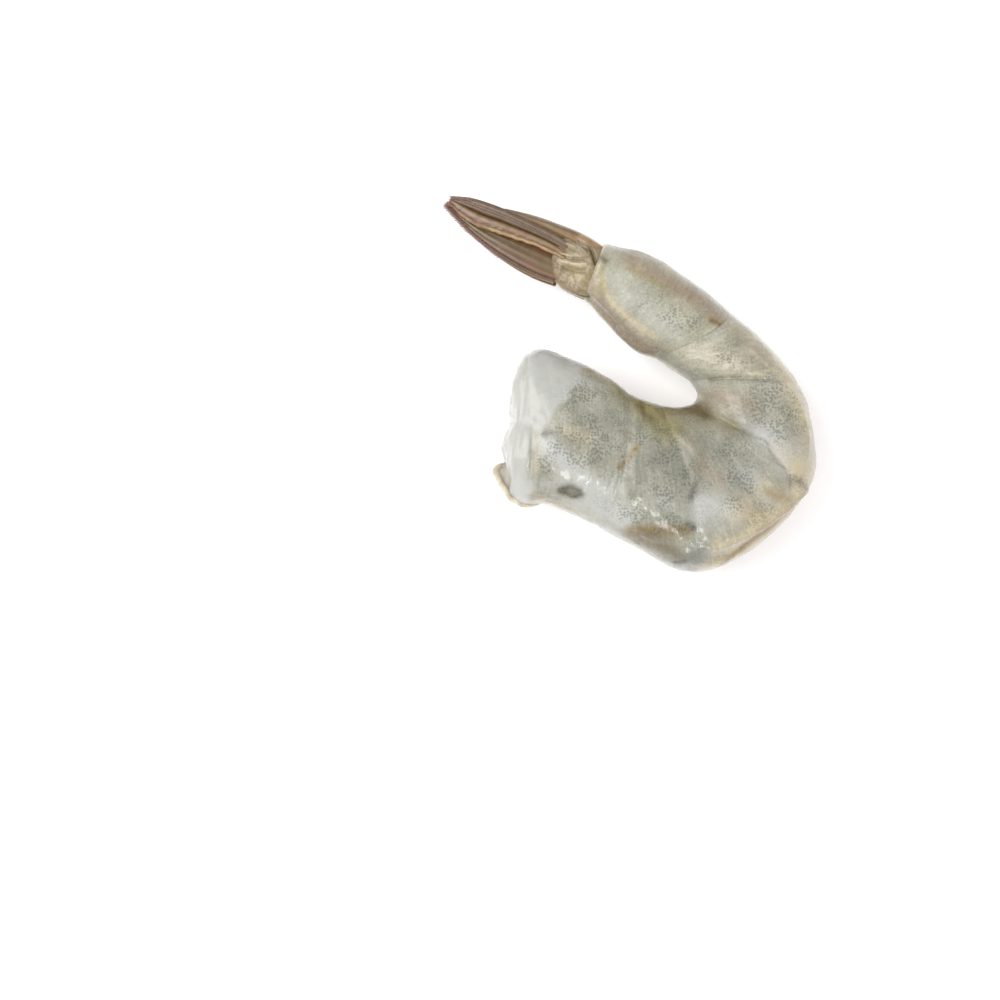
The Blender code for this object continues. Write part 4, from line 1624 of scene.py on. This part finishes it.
@dataclass
class Telson:
    """The pointed spike along the back of the fan, ridged along its length.

    Its outline is a top edge and a bottom edge at equal steps along it. Each ridge is its share of
    the way across, its half width and its height.
    """

    frame: FanFrame
    around: int = 96
    rings: int = 160
    reach: tuple[float, float] = (-3.4, 15.6)
    top: tuple[float, ...] = (-3.7, -4.25, -4.1, -3.75, -2.95)
    bottom: tuple[float, ...] = (-1.0, -1.5, -1.95, -1.95, -2.35)
    width: tuple[float, ...] = (4.4, 4.2, 3.2, 2.0, 0.5)
    squareness: float = 0.8
    end_roundness: float = 0.35
    waviness: float = 0.12
    least_depth: float = 0.05
    front_fade: tuple[float, float] = (0.8, 4.0)
    ridges: tuple[tuple[float, float, float], ...] = (
        (0.16, 0.05, 0.16),
        (0.62, 0.05, 0.12),
        (0.86, 0.05, -0.14),
    )

    def build(self, finish: bpy.types.Material) -> bpy.types.Object:
        """Make the spike and dress it.

        Args:
            finish: The wet horn.

        Returns:
            The finished piece.
        """
        piece = add_ball("tail_spike", self.around, self.rings)
        share, angle = ball_places(piece, self.rings)
        along = (1 - np.cos(share * math.pi)) / 2
        spot = along * (len(self.top) - 1)
        swell = np.sin(share * math.pi) ** self.end_roundness
        top = read_spline(self.top, spot)
        bottom = read_spline(self.bottom, spot)
        level = (top + bottom) / 2
        down = level - signed_power(np.cos(angle), self.squareness) * (bottom - top) / 2 * swell
        side = signed_power(np.sin(angle), self.squareness) * read_spline(self.width, spot) / 2 * swell
        across = np.clip((down - top) / np.maximum(bottom - top, self.least_depth), 0.0, 1.0)
        relief = sum(height * bell(across - place, half_width) for place, half_width, height in self.ridges)
        side += np.sign(side) * relief * swell * np.abs(np.sin(angle))
        reach = mixed(*self.reach, along)
        points = self.frame.place(np.stack((reach, down, side), axis=1))
        points[:, 2] += noise_at(points, 1.5, 11) * self.waviness
        write_points(piece, to_frame(points))

        # The spike's front is blotched with cream, and behind it each stain keeps to its own part across.
        front = 1 - smoothstep(*self.front_fade, reach + noise_at(points, 1.2, 4) * 1.5)
        blotchy = front * (0.55 + 0.45 * noise_at(points, 0.8, 6))
        dark_edges = 0.55 * bell(across, 0.07) + 0.7 * bell(across - 1, 0.08) * (1 - front)
        for name, values in (
            ("along", np.clip(reach / self.reach[1], 0.0, 1.0)),
            ("across", across),
            ("olive", 0.65 * (1 - smoothstep(0.2, 0.42, across)) * (1 - front)),
            ("lilac", 0.4 * smoothstep(0.75, 0.95, across) * (1 - front)),
            ("cream", np.maximum(blotchy, 0.42 * bell(across - 0.62, 0.24))),
            ("dark", np.clip(dark_edges, 0.0, 1.0)),
        ):
            store_values(piece, name, values)
        face_outwards(piece)
        dress(piece, finish, "telson")
        return piece


@dataclass
class FanBase:
    """The jointed base that carries two leaves of the fan: a flat pad with crests and creases."""

    frame: FanFrame
    front: float = -3.9
    rear: float = 5.4
    rear_slant: float = 0.057
    rear_row: float = -1.2
    side: tuple[float, float] = (-2.9, 5.35)
    height: tuple[float, float] = (0.15, 2.9)
    slope: float = 0.75
    least_height: float = 0.1
    relief_start: float = 0.35
    fullness: float = 4.0
    cuts: int = 96
    lumps: tuple[tuple[float, float, float], ...] = ((2.2, 0.22, 8), (0.8, 0.12, 9), (0.4, 0.04, 10))
    folds: tuple[Fold, ...] = (
        Fold(((-21.8, 21.8), (-19.6, 21.3), (-17.9, 21.3)), -0.35, 0.3),
        Fold(((-22.4, 25.4), (-20.9, 24.6), (-19.7, 24.0)), -0.3, 0.25),
        Fold(((-22.6, 24.4), (-21.2, 23.8), (-20.0, 23.1)), -0.3, 0.25),
        Fold(((-22.6, 23.3), (-21.3, 22.9), (-20.2, 22.5)), -0.3, 0.22),
        Fold(((-19.4, 24.6), (-18.4, 23.6), (-17.6, 22.6)), -0.35, 0.3),
        Fold(((-20.0, 25.2), (-18.8, 24.2), (-17.6, 23.6)), 0.35, 0.25),
        Fold(((-21.3, 20.9), (-19.6, 20.3), (-18.2, 20.1)), 0.22, 0.35),
        Fold(((-21.4, 22.5), (-19.9, 22.2), (-18.4, 22.2)), 0.3, 0.25),
        Fold(((-17.1, 23.6), (-16.7, 22.4), (-16.4, 21.4)), 0.5, 0.25),
        Fold(((-19.0, 16.9), (-17.2, 16.6)), 0.3, 0.3),
    )
    strokes: tuple[Stroke, ...] = (
        *strokes_of(Stain.LILAC, (
            (((-20.2, 25.6), (-18.6, 24.2)), 0.7, 0.9),
        )),
        *strokes_of(Stain.CREAM, (
            (((-21.8, 21.8), (-19.6, 21.3), (-17.9, 21.3)), 0.45, 1.0),
            (((-22.4, 25.4), (-20.9, 24.6), (-19.7, 24.0)), 0.25, 0.5),
            (((-22.6, 23.3), (-21.3, 22.9), (-20.2, 22.5)), 0.2, 0.5),
            (((-20.2, 19.4), (-18.6, 18.8)), 0.9, 0.25),
            (((-22.0, 22.4), (-19.0, 22.7)), 0.6, 0.5),
        )),
        *strokes_of(Stain.TAN, (
            (((-21.3, 20.9), (-19.6, 20.3), (-18.2, 20.1)), 0.3, 0.6),
            (((-22.8, 23.9), (-21.4, 23.3)), 0.3, 0.7),
            (((-22.8, 25.0), (-21.4, 24.2)), 0.3, 0.7),
            (((-22.9, 21.6), (-22.8, 18.4)), 0.4, 0.5),
        )),
        *strokes_of(Stain.YELLOW, (
            (((-21.0, 20.4), (-19.4, 19.4)), 1.0, 0.35),
            (((-17.4, 20.4), (-17.9, 17.2)), 0.5, 0.6),
        )),
        *strokes_of(Stain.OLIVE, (
            (((-17.6, 24.6), (-17.1, 23.2), (-16.4, 21.4)), 0.3, 1.0),
            (((-15.6, 23.8), (-15.0, 22.6), (-16.2, 21.3)), 0.3, 1.0),
            (((-22.6, 17.4), (-20.8, 16.8), (-18.4, 16.0), (-17.4, 16.2)), 0.3, 1.0),
        )),
        *strokes_of(Stain.DARK, (
            (((-19.9, 25.5), (-19.5, 24.6)), 0.12, 0.7),
            (((-19.3, 25.2), (-18.9, 24.3)), 0.12, 0.7),
        )),
    )

    def build(self, name: str, flank: int, finish: bpy.types.Material) -> bpy.types.Object:
        """Make one base and dress it.

        Args:
            name: "upper" or "lower".
            flank: 1 for the upper flank, -1 for the lower.
            finish: The wet joint.

        Returns:
            The finished piece.
        """
        deselect_all()
        bpy.ops.mesh.primitive_cube_add(size=2.0, location=(0, 0, 0))
        piece = name_added(f"{name}_leaf_base")
        bpy.ops.object.mode_set(mode="EDIT")
        bpy.ops.mesh.select_all(action="SELECT")
        bpy.ops.mesh.subdivide(number_cuts=self.cuts)
        bpy.ops.object.mode_set(mode="OBJECT")
        cube = read_points(piece)
        cube /= (np.abs(cube) ** self.fullness).sum(axis=1)[:, None] ** (1 / self.fullness)
        along, side, up = cube.T
        run = (along + 1) / 2
        across = sum(self.side) / 2 + (self.side[1] - self.side[0]) / 2 * side
        rear = self.rear - self.rear_slant * (across - self.rear_row) ** 2
        rise = sum(self.height) / 2 + (self.height[1] - self.height[0]) / 2 * up - self.slope * run
        rise = np.maximum(rise, self.height[0] + self.least_height * np.maximum(up, 0.0))
        points = np.stack((mixed(self.front, rear, run), across, rise), axis=1)
        plan = self.frame.place(points)
        relief = lumpy(points, self.lumps) - sum(fold.sink(plan) for fold in self.folds)
        points[:, 2] += relief * smoothstep(0.0, self.relief_start, up)
        points[:, 2] *= flank
        plan = self.frame.place(points)
        write_points(piece, to_frame(plan))
        paint(piece, plan, self.strokes, {})
        store_skin(piece, plan, points[:, (1, 0, 2)])
        face_outwards(piece)
        dress(piece, finish, f"{name}_fan_base")
        return piece


@dataclass(frozen=True)
class Ridge:
    """A line along a leaf: its share of the way across, half width, height, and stain if any."""

    place: float
    width: float
    height: float
    stain: str = ""
    strength: float = 0.0


@dataclass
class Leaf:
    """One thin leaf of the fan.

    Its outline is stops along it: distance, back edge, belly edge. Its heights are those of the back
    edge and the belly edge over the fan's middle plane, at its base and at its tip. Each wash is a
    stain, the shares of the way across between which it lies, and its strength. On the outer leaf the
    first rust wash is partly painted shadow.
    """

    frame: FanFrame
    name: str
    stops: tuple[tuple[float, float, float], ...]
    heights: tuple[tuple[float, float], tuple[float, float]]
    ridges: tuple[Ridge, ...]
    washes: tuple[tuple[str, float, float, float], ...]
    arch: float = 0.3
    ruffle: float = 0.0
    thickness: float = 0.36
    full_reach: float = 24.0
    wash_edge: float = 0.05
    tip_fade: float = 5.0
    ruffle_pitch: float = 0.9
    ruffle_start: float = 0.7
    side_ruffle: float = 0.7
    along: int = 200
    across: int = 64

    def build(self, name: str, flank: int, finish: bpy.types.Material) -> bpy.types.Object:
        """Make one leaf and dress it.

        Args:
            name: "upper" or "lower".
            flank: 1 for the upper flank, -1 for the lower.
            finish: The wet horn.

        Returns:
            The finished piece.
        """
        piece, run, cross = add_sheet(f"{name}_{self.name}_leaf", self.along, self.across)
        spot = run * (len(self.stops) - 1)
        reach, back_edge, belly_edge = (read_spline(column, spot) for column in zip(*self.stops))
        rise = mixed(mixed(*self.heights[0], cross), mixed(*self.heights[1], cross), run)
        rise += self.arch * np.sin(math.pi * cross) * np.sin(math.pi * np.clip(run * 0.9 + 0.05, 0.0, 1.0))
        fade = np.minimum(1.0, (1 - run) * self.tip_fade)
        for ridge in self.ridges:
            rise += ridge.height * bell(cross - ridge.place, ridge.width) * fade
        line = np.stack((reach, 0 * reach, 0 * reach), axis=1)
        wave = noise_at(line, self.ruffle_pitch, 13) * smoothstep(self.ruffle_start, 1.0, cross)
        rise += self.ruffle * wave
        side = mixed(back_edge, belly_edge, cross) + self.ruffle * self.side_ruffle * wave
        points = self.frame.place(np.stack((reach, side, rise * flank), axis=1))
        write_points(piece, to_frame(points))
        store_values(piece, "along", reach / self.full_reach)
        store_values(piece, "across", cross)
        levels = {stain: np.zeros(len(points)) for stain, _ in WetHorn.stains}
        for stain, low, high, strength in self.washes:
            inside = smoothstep(low - self.wash_edge, low + self.wash_edge, cross)
            inside *= 1 - smoothstep(high - self.wash_edge, high + self.wash_edge, cross)
            levels[stain] += strength * inside * (0.75 + 0.6 * noise_at(points, 1.3, 15))
        for ridge in self.ridges:
            if ridge.stain:
                line = bell(cross - ridge.place, ridge.width)
                levels[ridge.stain] += ridge.strength * line * (0.8 + 0.5 * noise_at(points, 1.0, 16))
        for stain, level in levels.items():
            store_values(piece, stain, np.clip(level, 0.0, 1.0))
        thicken(piece, self.thickness)
        face_outwards(piece)
        dress(piece, finish, f"{name}_{self.name}_blade")
        return piece


@dataclass(frozen=True)
class HairRow:
    """A row of hairs: its ends in the fan's frame, their number, length and lean in degrees."""

    start: tuple[float, float, float]
    end: tuple[float, float, float]
    count: int
    length: float
    lean: float


@dataclass
class Fringe:
    """Fine hairs along the free edges of the leaves and in a tuft at their tips.

    A real hair is thinner than the picture can show, so each is drawn as coarse as it needs to show.
    """

    frame: FanFrame
    root_radius: float = 0.048
    tip_share: float = 0.3
    sides: int = 5
    seed: int = 7
    rows: tuple[HairRow, ...] = (
        HairRow((20.5, -1.9, 1.7), (24.0, -0.7, 1.6), 26, 1.25, -14.0),
        HairRow((17.5, 1.7, 1.7), (24.0, 0.4, 1.4), 32, 1.05, 14.0),
        HairRow((13.0, 4.75, 1.2), (19.0, 3.15, 1.0), 46, 0.85, 30.0),
        HairRow((19.0, 3.15, 1.0), (24.5, 0.9, 0.9), 54, 1.1, 24.0),
        HairRow((23.8, -0.8, 1.5), (24.5, 0.9, 0.9), 18, 1.2, 0.0),
    )

    def hair(self) -> bpy.types.Object:
        """Model one hair, a long thin cone that runs along X.

        Returns:
            The hair, 1 mm long, with its root at the origin.
        """
        root = self.root_radius * MM
        deselect_all()
        bpy.ops.mesh.primitive_cone_add(vertices=self.sides, radius1=root, radius2=root * self.tip_share,
                                        depth=1.0 * MM, location=(0, 0, 0.5 * MM))
        hair = bpy.context.active_object
        hair.rotation_euler = (0.0, math.pi / 2, 0.0)
        bpy.ops.object.transform_apply(location=True, rotation=True, scale=True)
        return hair

    def poses(self, flank: int) -> list[Matrix]:
        """Work out where every hair of one flank stands.

        Args:
            flank: 1 for the upper flank, -1 for the lower.

        Returns:
            One matrix for each hair, with its place, its turn and its length.
        """
        chance = random.Random(self.seed)
        turn = self.frame.turn()
        poses = []
        for row in self.rows:
            for number in range(row.count):
                share = (number + chance.uniform(-0.3, 0.3)) / max(row.count - 1, 1)
                root = np.array([mixed(row.start[axis], row.end[axis], share) for axis in (0, 1, 2)])
                root[2] = (root[2] + chance.uniform(-0.15, 0.15)) * flank
                place = Matrix.Translation(Vector(to_frame(self.frame.place(root[None, :]))[0]))
                swing = math.radians(row.lean + chance.uniform(-9, 9))
                lean = turn @ Euler((0.0, chance.uniform(-0.12, 0.12), swing)).to_matrix()
                grown = Matrix.Diagonal((row.length * chance.uniform(0.7, 1.3), 1, 1, 1))
                poses.append(place @ lean.to_4x4() @ grown)
        return poses

    def build(self, name: str, flank: int, finish: bpy.types.Material) -> bpy.types.Object:
        """Make the hairs of one flank as one piece.

        Args:
            name: "upper" or "lower".
            flank: 1 for the upper flank, -1 for the lower.
            finish: The hairs' finish.

        Returns:
            The finished piece.
        """
        pattern = self.hair()
        hairs = []
        for pose in self.poses(flank):
            hair = pattern.copy()
            hair.data = pattern.data.copy()
            hair.data.transform(pose)
            bpy.context.collection.objects.link(hair)
            hairs.append(hair)
        bpy.data.objects.remove(pattern, do_unlink=True)
        deselect_all()
        for hair in hairs:
            hair.select_set(True)
        bpy.context.view_layer.objects.active = hairs[0]
        bpy.ops.object.join()
        piece = name_added(f"{name}_fringe")
        dress(piece, finish, None)
        return piece


@dataclass
class TailFan:
    """The whole folded fan: spike, bases, leaves and their fringe."""

    frame: FanFrame = field(default_factory=FanFrame)

    def leaves(self) -> list[Leaf]:
        """The two leaves of one flank.

        Returns:
            The inner leaf, then the outer one that lies under it.
        """
        inner = Leaf(
            self.frame, "inner",
            stops=(
                (3.0, -1.7, 0.9), (6.0, -2.1, 0.75), (9.0, -2.3, 0.85), (12.0, -2.45, 1.2),
                (15.0, -2.5, 1.45), (18.0, -2.35, 1.75), (21.0, -1.95, 1.3), (24.0, -0.95, 0.15),
            ),
            heights=((2.1, 2.1), (1.6, 1.5)),
            ridges=(
                Ridge(0.14, 0.03, 0.05), Ridge(0.26, 0.03, 0.06, "dark", 0.35), Ridge(0.35, 0.03, 0.05),
                Ridge(0.4, 0.05, 0.3), Ridge(0.5, 0.08, -0.4, "dark", 1.0),
                Ridge(0.05, 0.06, 0.0, "dark", 0.6), Ridge(0.94, 0.06, 0.25, "cream", 1.0),
            ),
            washes=(("lilac", 0.05, 0.4, 0.5), ("olive", 0.4, 0.5, 0.5), ("cream", 0.56, 0.76, 0.45),
                    ("rust", 0.76, 0.9, 0.6)),
            ruffle=0.22,
        )
        outer = Leaf(
            self.frame, "outer",
            stops=(
                (3.0, 0.2, 5.2), (6.0, 0.1, 5.45), (9.0, 0.1, 5.35), (12.0, 0.3, 4.95),
                (15.0, 0.5, 4.35), (18.0, 0.7, 3.5), (21.0, 0.6, 2.4), (24.5, 0.2, 0.9),
            ),
            heights=((0.9, 1.8), (0.5, 0.9)),
            ridges=(
                Ridge(0.32, 0.05, 0.04), Ridge(0.52, 0.05, 0.05), Ridge(0.74, 0.05, 0.05),
                Ridge(0.91, 0.05, 0.16, "dark", 1.0), Ridge(0.985, 0.025, 0.0, "cream", 0.7),
            ),
            # The first rust wash is painted shadow under the inner leaf's wavy rim over this leaf's own
            # red-brown; the last is the leaf's own red-brown margin.
            washes=(("rust", 0.0, 0.26, 0.75), ("olive", 0.25, 0.7, 0.5), ("rust", 0.74, 0.94, 0.75)),
        )
        return [inner, outer]

    def build(self, horn: bpy.types.Material, joint: bpy.types.Material,
              hair: bpy.types.Material) -> list[bpy.types.Object]:
        """Make every piece of the fan.

        Args:
            horn: The wet horn of spike and leaves.
            joint: The wet joint of the bases.
            hair: The fringe's own finish.

        Returns:
            The finished pieces.
        """
        pieces = [Telson(self.frame).build(horn)]
        for name, flank in (("upper", 1), ("lower", -1)):
            pieces.append(FanBase(self.frame).build(name, flank, joint))
            pieces += [leaf.build(name, flank, horn) for leaf in self.leaves()]
            pieces.append(Fringe(self.frame).build(name, flank, hair))
        return pieces


# The studio


@dataclass(frozen=True)
class Lamp:
    """A soft square light: its place and size in metres, and its power in watts."""

    name: str
    place: tuple[float, float, float]
    size: float
    power: float
    colour: tuple[float, float, float] = (1.0, 1.0, 1.0)
    shadow: bool = False


@dataclass
class Studio:
    """Pale board, soft lights and the camera straight above, as in the photograph.

    The board lies a hair's breadth under the flat spot that the shrimp rests on, so that the two
    don't share one level.
    """

    scale: float = 0.16
    bend_pixel: Point = (698.0, 397.0)
    frame_pixels: float = 1000.0
    lens: float = 100.0
    sensor: float = 36.0
    aim_height: float = 9.0
    board_size: float = 6.0
    board_drop: float = 0.05
    room_colour: tuple[float, float, float, float] = (1.0, 0.99, 1.0, 1.0)
    room_light: float = 0.87
    lamps: tuple[Lamp, ...] = (
        Lamp("key_softbox", (-0.55, 0.20, 0.70), 0.6, 5.7, (1.0, 0.985, 0.96), True),
        Lamp("sparkle_softbox", (-0.10, -0.42, 0.75), 0.15, 1.5),
        Lamp("low_sparkle_softbox", (0.06, -0.60, 0.62), 0.12, 1.1),
    )

    def floor(self) -> None:
        """Add the board that the shrimp lies on."""
        deselect_all()
        bpy.ops.mesh.primitive_plane_add(size=self.board_size, location=(0, 0, -self.board_drop * MM))
        board = name_added("board")
        board.data.materials.append(TableTop().make())

    def lights(self) -> None:
        """Add the soft lights, which all aim at the shrimp, and the pale room."""
        for lamp in self.lamps:
            light = bpy.data.lights.new(lamp.name, "AREA")
            light.shape = "SQUARE"
            light.size = lamp.size
            light.energy = lamp.power
            light.color = lamp.colour
            light.use_shadow = lamp.shadow
            holder = bpy.data.objects.new(lamp.name, light)
            holder.location = lamp.place
            holder.rotation_euler = (-Vector(lamp.place)).to_track_quat("-Z", "Y").to_euler()
            bpy.context.collection.objects.link(holder)
        world = bpy.data.worlds.new("soft_room")
        world.use_nodes = True
        plug(world.node_tree.nodes["Background"], {"Color": self.room_colour, "Strength": self.room_light})
        bpy.context.scene.world = world

    def camera(self) -> None:
        """Add the camera straight above the middle of the photograph's frame."""
        half = self.frame_pixels / 2
        east = (half - self.bend_pixel[0]) * self.scale - PLAN_CENTRE[0]
        north = (self.bend_pixel[1] - half) * self.scale - PLAN_CENTRE[1]
        field_width = self.frame_pixels * self.scale
        distance = field_width * self.lens / self.sensor
        lens = bpy.data.cameras.new("overhead")
        lens.lens = self.lens
        lens.sensor_width = self.sensor
        eye = bpy.data.objects.new("overhead", lens)
        eye.location = (east * MM, north * MM, (self.aim_height + distance) * MM)
        bpy.context.collection.objects.link(eye)
        bpy.context.scene.camera = eye

    def build(self) -> None:
        """Set up the whole studio with plain colours."""
        self.floor()
        self.lights()
        self.camera()
        bpy.context.scene.view_settings.view_transform = "Standard"
        bpy.context.scene.view_settings.look = "None"


def main() -> None:
    """Build every piece in order and report it."""
    logging.basicConfig(level=logging.INFO, format="%(name)s: %(message)s")
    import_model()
    form = BodyForm()
    flesh = WetSkin().make()
    shell = WetSkin("thin_tail_shell", "8B8978", "9F9D8B", roughness=(0.22, 0.35)).make()
    joint = WetSkin("fan_joint_skin", "75674F", "897B61", roughness=(0.3, 0.42)).make()
    pale = WetSkin("pale_cut_skin", "B2A794", "C8BEAC").make()
    pieces = [PeeledMeat(form).build(flesh), LastShell(form).build(shell)]
    pieces.append(NeckLip().build(pale))
    pieces += TailFan().build(WetHorn().make(), joint, FringeHair().make())
    for piece in pieces:
        LOG.info("%s: %d faces", piece.name, len(piece.data.polygons))
    Studio().build()


if __name__ == "__main__":
    main()
